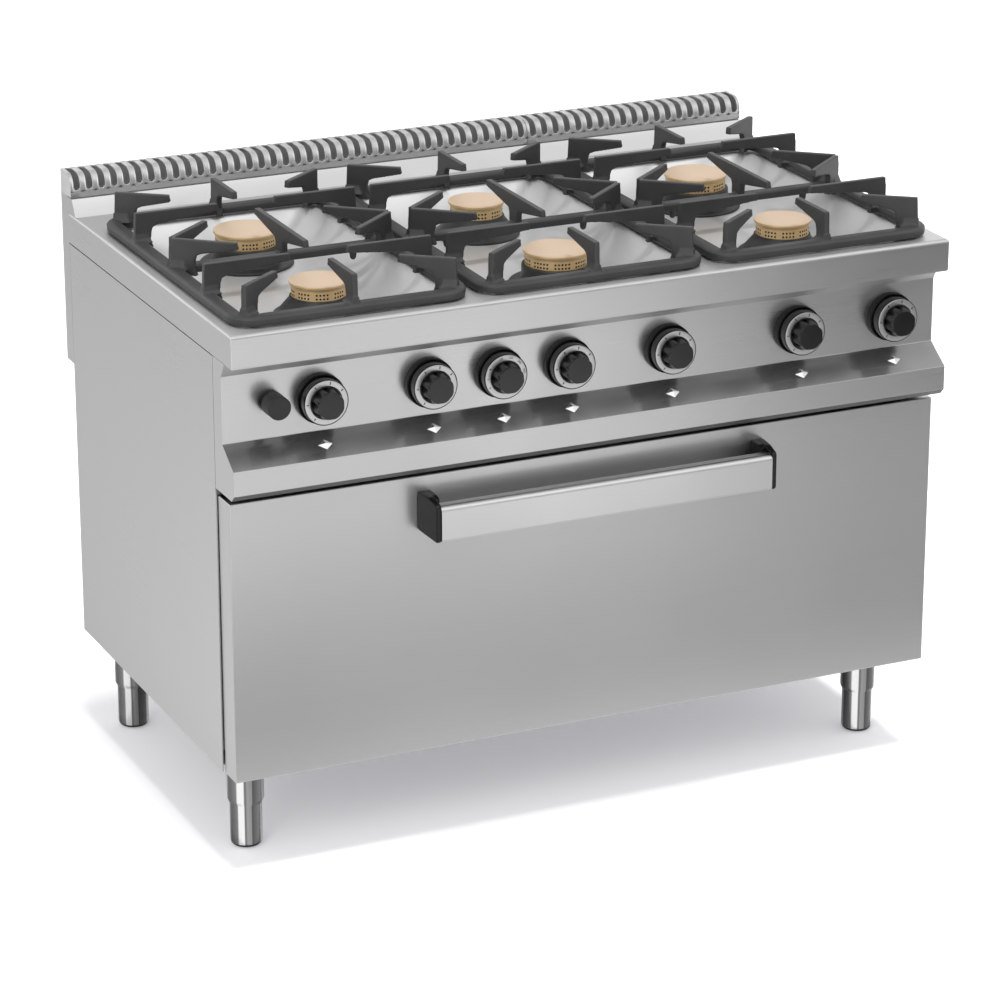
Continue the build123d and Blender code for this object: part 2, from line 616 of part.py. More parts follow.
def knob_collar(x):
    """Black cup on the panel that the knob's skirt turns in."""
    cup = rod_y(x, (PANEL_Y - 12, PANEL_Y), KNOB_Z, KNOB_RADIUS + 3)
    cup -= rod_y(x, (PANEL_Y - 13, PANEL_Y - 3), KNOB_Z, KNOB_RADIUS + 1)
    return cup - rod_y(x, (PANEL_Y - 14, PANEL_Y + 1), KNOB_Z, 9)


def knob(x):
    """Hub with finger grooves on a round skirt, and the ring let into the skirt's face."""
    skirt = rod_y(x, (14, PANEL_Y - 5), KNOB_Z, KNOB_RADIUS)
    hub = Pos(x, 14, KNOB_Z) * Rot(90, 0, 0) * Cone(23, 20.5, 20, align=(Align.CENTER, Align.CENTER, Align.MIN))
    for n in range(8):
        turn = radians(45 * n)
        groove = (x + 25 * cos(turn), KNOB_Z + 25 * sin(turn))
        hub -= rod_y(groove[0], (-7, 13.9), groove[1], 4.2)
    ring = rod_y(x, (13, 16), KNOB_Z, KNOB_RADIUS - 1.5) - rod_y(x, (12, 17), KNOB_Z, 24)
    body = skirt + hub - ring
    body -= rod_y(x, (6, PANEL_Y), KNOB_Z, SPINDLE + PIN_CLEARANCE)
    body -= rod_y(x, (30, PANEL_Y), KNOB_Z, 14)
    return [body, ring]


def igniter_button():
    """Push button of the piezo igniter, with its stem through the panel."""
    button = rod_y(IGNITER_X, (5, PANEL_Y - 9), IGNITER_Z, 18)
    button = fillet(button.faces().sort_by(Axis.Y)[0].edges(), 1.5)
    return button + rod_y(IGNITER_X, (PANEL_Y - 10, PANEL_Y + 30), IGNITER_Z, 7)


def main():
    os.makedirs("parts", exist_ok=True)
    side = side_panel()
    write("side_panel_right", side)
    write("side_panel_left", mirror(side, Plane.YZ))
    write("back_panel", back_panel())
    write("base_panel", base_panel())
    write("worktop", worktop())
    write("burner_pans", [burner_pan(x) for x in COLUMN_X])
    write("control_panel", control_panel())
    write("index_markers", [index_marker(x) for x in KNOB_X])
    write("splash_panel", splash_panel())
    write("flue_box", flue_box())
    write("flue_cap_left", flue_cap((-HALF, CAP_SEAM_X - 0.5), SLOTS_LEFT))
    write("flue_cap_right", flue_cap((CAP_SEAM_X + 0.5, HALF), SLOTS_RIGHT))
    write("oven_liner", oven_liner())
    write("oven_rear_wall", oven_rear_wall())
    write("oven_insulation", oven_insulation())
    write("oven_flue_duct", oven_flue_duct())
    write("oven_sole_plate", oven_sole_plate())
    write("oven_burner", oven_burner())
    guide = rack_guide()
    write("rack_guides", [guide, mirror(guide, Plane.YZ)])
    write("oven_rack", oven_rack())
    write("door_seal", door_seal())
    bracket = hinge_bracket()
    write("hinge_brackets", [bracket, mirror(bracket, Plane.YZ)])
    arm = door_hinge_arm()
    write("door_hinge_arms", [arm, mirror(arm, Plane.YZ)])
    write("door_outer_panel", door_outer_panel())
    write("door_inner_panel", door_inner_panel())
    write("door_insulation", door_insulation())
    write("handle_bar", handle_bar())
    end_cap = handle_end_cap()
    write("handle_end_caps", [end_cap, mirror(end_cap, Plane.YZ)])
    write("gas_manifold", gas_manifold())
    write("gas_taps", [tap_body(x) for x, burner in burner_taps()])
    write("oven_thermostat", thermostat_body(KNOB_X[OVEN_KNOB]))
    write("burner_pipes", [burner_pipe(n, x, *burner) for n, (x, burner) in enumerate(burner_taps())])
    write("oven_pipe", oven_pipe())
    write("gas_main_pipe", gas_main_pipe())
    write("burner_bodies_large", [burner_body(*place, True) for place in LARGE_BURNERS])
    write("burner_bodies_small", [burner_body(*place, False) for place in SMALL_BURNERS])
    write("pilot_burners", [pilot_burner(*place) for place in LARGE_BURNERS + SMALL_BURNERS])
    rows = ("front", "rear")
    columns = ("left", "centre", "right")
    for column, row in LARGE_BURNERS + SMALL_BURNERS:
        name = f"burner_cap_{columns[column]}_{rows[row]}"
        write(name, burner_cap(column, row, (column, row) in LARGE_BURNERS))
    for x, name in zip(COLUMN_X, columns):
        write(f"grate_{name}", grate(x))
    write("knob_collars", [knob_collar(x) for x in KNOB_X])
    for n, x in enumerate(KNOB_X):
        write("knob_oven" if n == OVEN_KNOB else f"knob_{n + 1 if n < OVEN_KNOB else n}", knob(x))
    write("igniter_button", igniter_button())
    legs = [(sign * LEG_X, y) for y in LEG_Y for sign in (-1, 1)]
    write("leg_sleeves", [leg_sleeve(x, y) for x, y in legs])
    names = ("front_left", "front_right", "rear_left", "rear_right")
    for (x, y), name in zip(legs, names):
        write(f"foot_{name}", foot(x, y))


main()
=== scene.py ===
"""Looks of the commercial gas range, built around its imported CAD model.

Shapes are written in millimetres from the worktop's front edge and the floor, as in the CAD.
"""

import json
from math import atan2, copysign, cos, degrees, hypot, pi, radians, sin, tan

import bmesh
import bpy
from mathutils import Matrix, Vector


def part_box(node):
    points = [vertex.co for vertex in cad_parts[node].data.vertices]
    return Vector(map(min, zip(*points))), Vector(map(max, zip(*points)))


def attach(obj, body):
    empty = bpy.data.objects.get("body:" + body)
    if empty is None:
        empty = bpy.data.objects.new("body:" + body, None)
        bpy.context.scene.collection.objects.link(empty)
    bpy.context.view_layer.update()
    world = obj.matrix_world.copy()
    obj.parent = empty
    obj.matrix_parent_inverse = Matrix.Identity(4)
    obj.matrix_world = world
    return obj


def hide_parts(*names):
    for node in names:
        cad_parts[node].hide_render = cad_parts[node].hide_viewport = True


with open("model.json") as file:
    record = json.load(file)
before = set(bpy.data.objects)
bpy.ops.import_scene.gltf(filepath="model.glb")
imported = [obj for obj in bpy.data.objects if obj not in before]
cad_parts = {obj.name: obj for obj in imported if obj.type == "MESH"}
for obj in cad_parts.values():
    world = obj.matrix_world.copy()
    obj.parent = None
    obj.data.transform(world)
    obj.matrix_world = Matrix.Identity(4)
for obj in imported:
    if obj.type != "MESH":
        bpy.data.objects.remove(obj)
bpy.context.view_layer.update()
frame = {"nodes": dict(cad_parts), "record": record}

MM = 0.001
scene = bpy.context.scene
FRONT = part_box("worktop")[0].y / MM
WORKTOP_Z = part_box("worktop")[1].z / MM
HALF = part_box("worktop")[1].x / MM
COLUMNS = {"left": -394.0, "centre": 0.0, "right": 394.0}
GRATE_MID = 316.0
ROWS = {"front": 167.0, "rear": 465.0}
LARGE = (("left", "rear"), ("centre", "front"), ("right", "rear"))
KNOBS = {
    "knob_1": -446.0,
    "knob_2": -270.0,
    "knob_oven": -155.0,
    "knob_3": -41.0,
    "knob_4": 130.0,
    "knob_5": 355.0,
    "knob_6": 520.0,
}
KNOB_Z = 744.0


# ---- mesh helpers
def new_object(name, data):
    obj = bpy.data.objects.new(name, data)
    scene.collection.objects.link(obj)
    return obj


def mesh_piece(name, verts, faces):
    """A mesh object in the part's frame, from points in millimetres."""
    mesh = bpy.data.meshes.new(name)
    mesh.from_pydata([(x * MM, (y + FRONT) * MM, z * MM) for x, y, z in verts], [], faces)
    mesh.validate()
    return new_object(name, mesh)


def joined(parts):
    """Several (verts, faces) as one."""
    verts, faces = [], []
    for more_verts, more_faces in parts:
        base = len(verts)
        verts += list(more_verts)
        faces += [tuple(i + base for i in face) for face in more_faces]
    return verts, faces


def apply_modifiers(obj):
    """Turns the object's modifiers into its mesh."""
    bpy.context.view_layer.update()
    graph = bpy.context.evaluated_depsgraph_get()
    mesh = bpy.data.meshes.new_from_object(obj.evaluated_get(graph), depsgraph=graph)
    obj.modifiers.clear()
    obj.data = mesh
    return obj


def tidy_mesh(obj, merge=0.00001):
    """Joins points within a distance in metres, and turns the faces outwards."""
    bm = bmesh.new()
    bm.from_mesh(obj.data)
    bmesh.ops.remove_doubles(bm, verts=bm.verts, dist=merge)
    bmesh.ops.recalc_face_normals(bm, faces=bm.faces)
    bm.to_mesh(obj.data)
    bm.free()
    return obj


def bevel(obj, width, segments, angle, clamp=True):
    """Rounds the edges that are sharper than an angle in degrees."""
    modifier = obj.modifiers.new("bevel", "BEVEL")
    modifier.width = width * MM
    modifier.segments = segments
    modifier.limit_method = "ANGLE"
    modifier.angle_limit = radians(angle)
    modifier.use_clamp_overlap = clamp
    return apply_modifiers(obj)


def smooth(obj, angle):
    """Smooth shading that keeps broad faces flat, with edges sharper than the angle left sharp.

    A mesh that a copy shares is smoothed only once.
    """
    if obj.data.has_custom_normals:
        return obj
    obj.data.shade_smooth()
    obj.data.set_sharp_from_angle(angle=radians(angle))
    modifier = obj.modifiers.new("flat_faces", "WEIGHTED_NORMAL")
    modifier.keep_sharp = True
    modifier.weight = 80
    return apply_modifiers(obj)


def arc_corners(points, steps=4):
    """A closed 2-D outline with each (u, v, radius) corner rounded."""
    out = []
    count = len(points)
    for n, (u, v, radius) in enumerate(points):
        here = Vector((u, v))
        if radius <= 0:
            out.append((u, v))
            continue
        before = Vector(points[n - 1][:2]) - here
        after = Vector(points[(n + 1) % count][:2]) - here
        a, b = before.normalized(), after.normalized()
        half = a.angle(b) / 2
        run = min(radius / tan(half), 0.49 * before.length, 0.49 * after.length)
        r = run * tan(half)
        centre = here + (a + b).normalized() * (r / sin(half))
        start, end = here + a * run - centre, here + b * run - centre
        turn = start.angle_signed(end)
        for k in range(steps + 1):
            angle = -turn * k / steps
            c, s = cos(angle), sin(angle)
            out.append((centre.x + start.x * c - start.y * s, centre.y + start.x * s + start.y * c))
    return out


def prism(outline, low, high, along="x"):
    """A closed (verts, faces) prism. The outline is y-z along x, x-z along y or x-y along z."""
    def point(u, v, w):
        return {"x": (w, u, v), "y": (u, w, v), "z": (u, v, w)}[along]

    n = len(outline)
    verts = [point(u, v, low) for u, v in outline] + [point(u, v, high) for u, v in outline]
    faces = [(i, (i + 1) % n, (i + 1) % n + n, i + n) for i in range(n)]
    return verts, faces + [tuple(range(n))[::-1], tuple(range(n, 2 * n))]


def lathe(profile, centre, along="z", steps=64, closed=False):
    """A (radius, height) profile turned about an upright axis, or one along y, through the centre."""
    verts, faces, rows = [], [], []
    for radius, height in profile:
        row = []
        for k in range(1 if radius <= 0 else steps):
            a = 2 * pi * k / steps
            c, s = radius * cos(a), radius * sin(a)
            if along == "z":
                verts.append((centre[0] + c, centre[1] + s, height))
            else:
                verts.append((centre[0] + c, height, centre[2] + s))
            row.append(len(verts) - 1)
        rows.append(row)
    pairs = list(zip(rows, rows[1:])) + ([(rows[-1], rows[0])] if closed else [])
    for a, b in pairs:
        for k in range(steps):
            m = (k + 1) % steps
            if len(a) == 1 and len(b) > 1:
                faces.append((a[0], b[k], b[m]))
            elif len(b) == 1 and len(a) > 1:
                faces.append((a[k], a[m], b[0]))
            elif len(a) > 1:
                faces.append((a[k], a[m], b[m], b[k]))
    return verts, faces


def loop_points(half_x, half_y, radius, steps=8):
    """A rectangle with round corners, about the origin."""
    points = []
    corners = ((1, 1, 0), (-1, 1, 90), (-1, -1, 180), (1, -1, 270))
    for sx, sy, start in corners:
        for k in range(steps + 1):
            a = radians(start + 90 * k / steps)
            u = sx * (half_x - radius) + radius * cos(a)
            v = sy * (half_y - radius) + radius * sin(a)
            points.append((u, v))
    return points


def bridged(loops, closed=True):
    """Quads between loops of equal length."""
    n = len(loops[0])
    verts = [p for loop in loops for p in loop]
    faces = []
    pairs = [(i, i + 1) for i in range(len(loops) - 1)] + ([(len(loops) - 1, 0)] if closed else [])
    for a, b in pairs:
        for k in range(n):
            m = (k + 1) % n
            faces.append((a * n + k, a * n + m, b * n + m, b * n + k))
    return verts, faces


def lidded(loops):
    """Quads between loops, with a face over the last one."""
    verts, faces = bridged(loops, closed=False)
    return verts, faces + [tuple(range(len(verts) - len(loops[0]), len(verts)))]


def solidified(obj, thickness):
    """A sheet given its thickness, inwards."""
    modifier = obj.modifiers.new("sheet", "SOLIDIFY")
    modifier.thickness = thickness * MM
    return apply_modifiers(obj)


# ---- materials
def grey(value):
    return (value, value, value)


def new_material(name):
    material = bpy.data.materials.new(name)
    material.use_nodes = True
    tree = material.node_tree
    return material, tree, tree.nodes["Principled BSDF"]


def wire(tree, made, values):
    """Sets a node's inputs, or links them where the value is a socket."""
    for key, value in values.items():
        if isinstance(value, bpy.types.NodeSocket):
            tree.links.new(value, made.inputs[key])
        else:
            made.inputs[key].default_value = value


def node(tree, kind, values=None, **settings):
    made = tree.nodes.new(kind)
    for key, value in settings.items():
        setattr(made, key, value)
    wire(tree, made, values or {})
    return made


def maths(tree, operation, first, second=0.0):
    return node(tree, "ShaderNodeMath", {0: first, 1: second}, operation=operation).outputs[0]


def object_place(tree):
    return node(tree, "ShaderNodeTexCoord").outputs["Object"]


def split(tree, vector):
    """The x, y and z of a vector."""
    return node(tree, "ShaderNodeSeparateXYZ", {0: vector}).outputs


def normal_axes(tree):
    return split(tree, node(tree, "ShaderNodeNewGeometry").outputs["Normal"])


def noise(tree, place, scale, detail=3.0, stretch=(1, 1, 1)):
    mapped = node(tree, "ShaderNodeMapping", {"Vector": place, "Scale": stretch})
    values = {"Vector": mapped.outputs[0], "Scale": scale, "Detail": detail, "Roughness": 0.5}
    return node(tree, "ShaderNodeTexNoise", values).outputs["Fac"]


def share(tree, value, start, end, low=0.0, high=1.0):
    """A value's share of the way from start to end, as a number from low to high."""
    return node(tree, "ShaderNodeMapRange", {0: value, 1: start, 2: end, 3: low, 4: high}).outputs[0]


def ranged(tree, value, low, high):
    """A noise's middle range spread from low to high."""
    return share(tree, value, 0.3, 0.7, low, high)


def mixed(tree, factor, *ends):
    """A colour between two, each a socket, a colour or a grey level."""
    ends = [grey(end) if isinstance(end, float) else end for end in ends]
    first, second = [(*end, 1) if isinstance(end, tuple) else end for end in ends]
    values = {"Factor": factor, "A": first, "B": second}
    return node(tree, "ShaderNodeMix", values, data_type="RGBA").outputs["Result"]


def ramp(tree, factor, stops, interpolation="B_SPLINE"):
    """Grey levels by a factor, from (place, level) stops."""
    colours = node(tree, "ShaderNodeValToRGB", {0: factor})
    colours.color_ramp.interpolation = interpolation
    points = colours.color_ramp.elements
    while len(points) < len(stops):
        points.new(0.5)
    for point, (place, level) in zip(points, stops):
        point.position = place
        point.color = (*grey(level), 1)
    return colours.outputs["Color"]


def bumped(tree, height, strength, distance=0.0003):
    values = {"Height": height, "Strength": strength, "Distance": distance}
    return node(tree, "ShaderNodeBump", values).outputs[0]


def brushed(name, level, roughness, contrast=0.02, streak=2200.0, bump=0.012, anisotropic=0.6, metallic=1.0):
    """Brushed steel or aluminium. The grain runs level on upright faces, and along x on flat ones."""
    material, tree, shader = new_material(name)
    where = object_place(tree)
    slow = 5.0
    wear = 0.02
    grain = node(tree, "ShaderNodeMix", {
        "Factor": share(tree, maths(tree, "ABSOLUTE", normal_axes(tree)[2]), 0.6, 0.8),
        "A": noise(tree, where, 1.0, 3.0, (slow, slow, streak)),
        "B": noise(tree, where, 1.0, 3.0, (slow, streak, slow)),
    }, data_type="FLOAT").outputs["Result"]
    smudge = noise(tree, where, 5.0, 2.0)
    worn = maths(tree, "ADD", ranged(tree, grain, -wear, wear), ranged(tree, smudge, -wear, wear))
    tones = (level * (1 - contrast), level * (1 + contrast))
    wire(tree, shader, {
        "Base Color": mixed(tree, ranged(tree, grain, 0, 1), *tones),
        "Roughness": maths(tree, "ADD", worn, roughness),
        "Metallic": metallic,
        "Anisotropic": anisotropic,
        "Anisotropic Rotation": 0.25,
        "Tangent": node(tree, "ShaderNodeTangent", direction_type="RADIAL", axis="Z").outputs[0],
        "Normal": bumped(tree, grain, bump),
    })
    return material


def grainy(name, dark, light, roughness, grain, bump, distance=0.0004, metallic=0.0, spread=0.08, coat=0.0,
           specular=0.5):
    """Cast, moulded or enamelled surfaces between two colours or grey levels, with a fine sand-like grain."""
    material, tree, shader = new_material(name)
    where = object_place(tree)
    fine = noise(tree, where, grain, 4.0)
    broad = noise(tree, where, 18.0, 4.0)
    wire(tree, shader, {
        "Base Color": mixed(tree, ranged(tree, broad, 0, 1), dark, light),
        "Roughness": ranged(tree, fine, roughness - spread, roughness + spread),
        "Metallic": metallic,
        "Coat Weight": coat,
        "Specular IOR Level": specular,
        "Normal": bumped(tree, fine, bump, distance),
    })
    return material


def brass(name, dark, light, top):
    """Sand-blasted brass with a painted highlight: faces that look up are painted paler and pinker for the light they
    catch from above.
    """
    material, tree, shader = new_material(name)
    where = object_place(tree)
    fine = noise(tree, where, 1500.0, 3.0)
    side = mixed(tree, ranged(tree, noise(tree, where, 40.0, 3.0), 0, 1), dark, light)
    wire(tree, shader, {
        # Painted highlight: the colour turns paler and pinker as the face looks up.
        "Base Color": mixed(tree, share(tree, normal_axes(tree)[2], 0.6, 0.9), side, top),
        "Roughness": ranged(tree, fine, 0.40, 0.52),
        "Metallic": 0.6,
        "Normal": bumped(tree, fine, 0.12),
    })
    return material


# Painted reflection for the legs: light and dark bands set by the normal's direction. A quarter turn from the front
# runs from 0.5 to 1.0, and repeats round the tube.
LEG_PAINTED_REFLECTION = [(0.50, 0.10), (0.62, 0.18), (0.71, 0.26), (0.735, 0.95), (0.845, 0.95), (0.862, 0.20), (0.885, 0.20)]
LEG_PAINTED_REFLECTION += [(0.905, 0.36), (1.0, 0.30)]


def painted_reflection_tube(name):
    """Polished tube with painted reflections: upright light and dark bands, the same in each quarter turn."""
    material, tree, shader = new_material(name)
    lie = normal_axes(tree)
    turn = maths(tree, "ARCTAN2", lie[0], maths(tree, "MULTIPLY", lie[1], -1.0))
    half_turns = maths(tree, "DIVIDE", turn, pi)
    place = node(tree, "ShaderNodeMath", {0: half_turns, 1: 1.0, 2: 0.5}, operation="WRAP").outputs[0]
    fine = noise(tree, object_place(tree), 1.0, 3.0, (900, 900, 30))
    wire(tree, shader, {
        # Painted reflection: the base colour follows the normal's direction round the tube.
        "Base Color": ramp(tree, place, LEG_PAINTED_REFLECTION, "LINEAR"),
        "Roughness": ranged(tree, fine, 0.26, 0.32),
        "Metallic": 1.0,
        "Normal": bumped(tree, fine, 0.01),
    })
    return material


MATERIALS = {
    "brushed_stainless": brushed("steel_brushed", 0.56, 0.30),
    "door_stainless": brushed("steel_door", 0.56, 0.32),
    "pan_stainless": brushed("steel_pressed", 0.72, 0.38, contrast=0.01, bump=0.006, anisotropic=0.2, metallic=0.75),
    "galvanised": grainy("steel_galvanised", 0.34, 0.44, 0.42, 90, 0.05, metallic=1.0),
    "cast_iron": grainy("iron_cast", (0.026, 0.0262, 0.0265), (0.036, 0.0362, 0.0365), 0.50, 1100, 0.3),
    "burner_iron": grainy("iron_burner", 0.014, 0.022, 0.40, 1300, 0.5),
    # The last colour is the painted highlight on the caps' upward faces.
    "burner_brass": brass("brass_cap", (0.62, 0.43, 0.21), (0.73, 0.53, 0.29), (0.68, 0.52, 0.38)),
    "knob_plastic": grainy("plastic_knob", 0.006, 0.009, 0.22, 900, 0.03, spread=0.03, specular=0.4),
    "collar_plastic": grainy("plastic_collar", 0.004, 0.007, 0.40, 900, 0.05, spread=0.04, specular=0.2),
    "button_plastic": grainy("plastic_button", 0.014, 0.020, 0.45, 1200, 0.2, specular=0.3),
    "handle_aluminium": brushed("aluminium_satin", 0.66, 0.32, contrast=0.01, streak=2500),
    "handle_plastic": grainy(
        "plastic_handle", 0.002, 0.003, 0.30, 1200, 0.06, spread=0.04, specular=0.35),
    "marker_steel": grainy("steel_marker", 0.78, 0.84, 0.24, 300, 0.01, metallic=0.9, spread=0.02),
    "leg_stainless": painted_reflection_tube("steel_leg_painted_reflection"),
    "oven_enamel": grainy("enamel_oven", (0.012, 0.014, 0.020), (0.018, 0.020, 0.028), 0.22, 260, 0.05, coat=0.4),
    "wire_chrome": grainy("chrome_wire", 0.62, 0.70, 0.14, 400, 0.02, metallic=1.0, spread=0.04),
    "mineral_wool": grainy("wool", (0.46, 0.40, 0.26), (0.60, 0.54, 0.38), 0.9, 420, 0.8, distance=0.002),
    "seal_fibre": grainy("seal", 0.05, 0.09, 0.85, 700, 0.8, distance=0.001),
    "gas_steel": grainy("steel_zinc", 0.32, 0.40, 0.36, 300, 0.05, metallic=1.0),
    "gas_brass": grainy("brass_machined", (0.55, 0.38, 0.13), (0.64, 0.46, 0.18), 0.30, 500, 0.05, metallic=1.0),
}
# Finishes of parts of a piece, and of pieces whose tone differs from the rest of their slot. The steel copies among
# them are painted light and shade: darker for the strip under the worktop, the slope and the face under the nose, and
# lighter and more diffuse for the flue caps and the worktop's top.
FOOT_RUBBER = grainy("foot_base", 0.010, 0.016, 0.5, 700, 0.1)
DIAL_METAL = grainy("dial_metal", 0.50, 0.55, 0.34, 900, 0.02, metallic=1.0, spread=0.03)
# Painted shade: a darker copy of the steel for the strip in the shade under the worktop's front.
SHADED_GAP_STEEL = brushed("steel_gap_painted_shade", 0.46, 0.50, metallic=0.7)
# Painted shade: a much darker copy of the steel for the face under the bullnose.
SHADED_NOSE_UNDERSIDE = brushed("steel_under_nose_painted_shade", 0.13, 0.55, metallic=0.7)
# Painted shade: a darker, more polished copy of the steel for the slope under the knobs.
SHADED_SLOPE_STEEL = brushed("steel_slope_painted_shade", 0.36, 0.17, metallic=0.85)
# Painted light: a lighter, more diffuse copy of the steel for the flue caps.
LIT_CAP_STEEL = brushed("steel_flue_painted_light", 0.62, 0.44, metallic=0.85)
# Painted light: a lighter, more diffuse copy of the steel for the worktop's upward faces.
LIT_TOP_STEEL = brushed("steel_top_painted_light", 0.60, 0.42, metallic=0.8)

for part in frame["record"]["subparts"]:
    mesh = frame["nodes"][part["node"]].data
    mesh.materials.clear()
    mesh.materials.append(MATERIALS[part["material_slot"]])


def finish_piece(obj, body, slot_name, *nodes, angle):
    """Gives a piece its finish, its body and the CAD nodes it stands for."""
    smooth(obj, angle)
    if not obj.data.materials:
        obj.data.materials.append(MATERIALS[slot_name])
    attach(obj, body)
    if nodes:
        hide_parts(*nodes)
    return obj


def painted(obj, first, second, is_second):
    """Gives a piece two finishes, the second one on the faces that the test picks."""
    obj.data.materials.append(first)
    obj.data.materials.append(second)
    for polygon in obj.data.polygons:
        polygon.material_index = 1 if is_second(polygon) else 0


def copy_at(obj, name, dx=0.0, dy=0.0):
    """The same mesh again, moved by millimetres."""
    made = new_object(name, obj.data)
    made.location = obj.location + Vector((dx, dy, 0)) * MM
    return made


# ---- grates
SHEET = 1.2
PAN_DEPTH = 42.0
FRAME_TOP = WORKTOP_Z + 18.0
FRAME_LOW = WORKTOP_Z + 4.5
FINGER_TOP = WORKTOP_Z + 62.0
GRATE_HALF = (190.0, 298.0)
GRATE_FOOT_X = 178.0
GRATE_FOOT_Y = (78.0, 554.0)
BLADE = 4.5


def finger(centre, angle, tip, inner, outer):
    """One finger: a wide post on the frame, an arm to the burner and a flared foot."""
    low, top = FRAME_LOW + 1.0, FINGER_TOP
    outline = [(outer, low), (outer - 3, top), (tip, top), (tip - 2.5, top - 11), (inner - 10, top - 21)]
    outline += [(inner - 2, top - 24.5), (inner, top - 31), (inner + 1.5, low + 12), (inner - 3, low)]
    turn = Matrix.Rotation(radians(angle), 3, "Z")

    def placed(u, v, z):
        p = turn @ Vector((u, v, 0))
        return (centre[0] + p.x, centre[1] + p.y, z)

    n = len(outline)
    verts = [placed(u, side * BLADE, z) for side in (-1, 1) for u, z in outline]
    faces = [(i, (i + 1) % n, (i + 1) % n + n, i + n) for i in range(n)]
    faces += [tuple(range(n))[::-1], tuple(range(n, 2 * n))]
    flare = []
    for grow, z in ((7.0, FRAME_TOP - 3), (2.6, FRAME_TOP + 3), (0.4, FRAME_TOP + 10)):
        low_u, high_u, half_v = outer - 22 - grow, outer + grow * 0.1, BLADE + grow
        corners = ((low_u, -half_v), (high_u, -half_v), (high_u, half_v), (low_u, half_v))
        flare.append([placed(u, v, z) for u, v in corners])
    flare_verts, flare_faces = bridged(flare, closed=False)
    flare_faces += [(0, 1, 2, 3), (8, 9, 10, 11)]
    return [(verts, faces), (flare_verts, flare_faces)]


def grate_parts():
    """The frame, its bar, the fingers, the long blade, and the stubs and feet of the middle grate."""
    parts = []
    section = [(3.5, FRAME_LOW - 2.2), (1, FRAME_LOW - 1), (0, FRAME_TOP - 5), (2.5, FRAME_TOP - 1.6)]
    section += [(6.5, FRAME_TOP), (19, FRAME_TOP), (22.5, FRAME_TOP - 2), (24, FRAME_TOP - 5)]
    section += [(24, FRAME_LOW + 3), (22, FRAME_LOW)]
    loops = []
    for inset, z in section:
        ring = loop_points(GRATE_HALF[0] - inset, GRATE_HALF[1] - inset, 42 - inset)
        loops.append([(x, y + GRATE_MID, z) for x, y in ring])
    parts.append(bridged(loops))
    bar = [(-11, FRAME_LOW + 1), (-11, FRAME_TOP - 2.5), (-8.5, FRAME_TOP)]
    bar += [(-y, z) for y, z in bar[::-1]]
    parts.append(prism([(y + GRATE_MID, z) for y, z in bar], -GRATE_HALF[0] + 12, GRATE_HALF[0] - 12))
    pitch = (ROWS["rear"] - ROWS["front"]) / 2
    corner = (GRATE_HALF[0] - 22, pitch - 22)
    elbow = (GRATE_HALF[0] - 10, pitch)
    side = GRATE_HALF[0] - 4
    for row, y in ROWS.items():
        rear = row == "rear"
        for angle in (0, 180):
            parts += finger((0, y), angle, 48, side - 29, side)
        parts += finger((0, y), 90 if rear else -90, 48, pitch - 34, pitch - 4)
        for sign in (1, -1):
            tilt = degrees(atan2(corner[1], sign * corner[0]))
            reach = hypot(*corner)
            parts += finger((0, y), tilt if rear else -tilt, reach - 86, reach - 32, reach + 4)
            lean = degrees(atan2(elbow[1], sign * elbow[0]))
            reach = hypot(*elbow)
            parts += finger((0, y), -lean if rear else lean, reach - 106, reach - 40, reach)
    low, top, reach = FRAME_TOP - 6, FINGER_TOP, pitch - 46
    blade = [(-14, low), (-15, top - 30), (-18, top - 24), (-reach, top - 10), (-reach + 3, top)]
    blade += [(-y, z) for y, z in blade[::-1]]
    parts.append(prism([(y + GRATE_MID, z) for y, z in blade], -BLADE, BLADE))
    stub = [(0, 4), (6.5, 4), (5, -10), (3, -13), (0, -14)]
    for x in (-118, 118):
        parts.append(lathe([(r, FRAME_LOW + z) for r, z in stub], (x, GRATE_MID), steps=16))
    top, low = FRAME_LOW + 4, WORKTOP_Z + SHEET
    for x in (-GRATE_FOOT_X, GRATE_FOOT_X):
        for y in GRATE_FOOT_Y:
            parts.append(lathe([(0, top), (6, top), (6, low), (0, low)], (x, y), steps=16))
    return joined(parts)


def build_grates():
    """Castings: the parts melted into one skin, softened and thinned out."""
    grate = tidy_mesh(mesh_piece("grate_casting_centre", *grate_parts()), 0.0)
    remesh = grate.modifiers.new("cast", "REMESH")
    remesh.mode = "VOXEL"
    remesh.voxel_size = 1.35 * MM
    soften = grate.modifiers.new("soften", "SMOOTH")
    soften.factor = 0.5
    soften.iterations = 2
    thin = grate.modifiers.new("thin", "DECIMATE")
    thin.ratio = 0.2
    apply_modifiers(grate)
    for name, x in COLUMNS.items():
        obj = grate if name == "centre" else copy_at(grate, f"grate_casting_{name}", x)
        finish_piece(obj, f"grate_{name}", "cast_iron", f"grate_{name}", angle=50)


# ---- burners and pans
BURNER_RIM = WORKTOP_Z - 8.0
NECK_LOW = WORKTOP_Z - 75.0
CAP_SEAT = WORKTOP_Z - 7.7
CAP_WALL = CAP_SEAT + 13.5
# Outer, mouth and flange radius of a burner, and its cap's radius, for the large and the small ones.
BURNER_RADII = {True: (54.0, 46.0, 74.0, 49.0), False: (45.0, 38.0, 70.0, 42.0)}


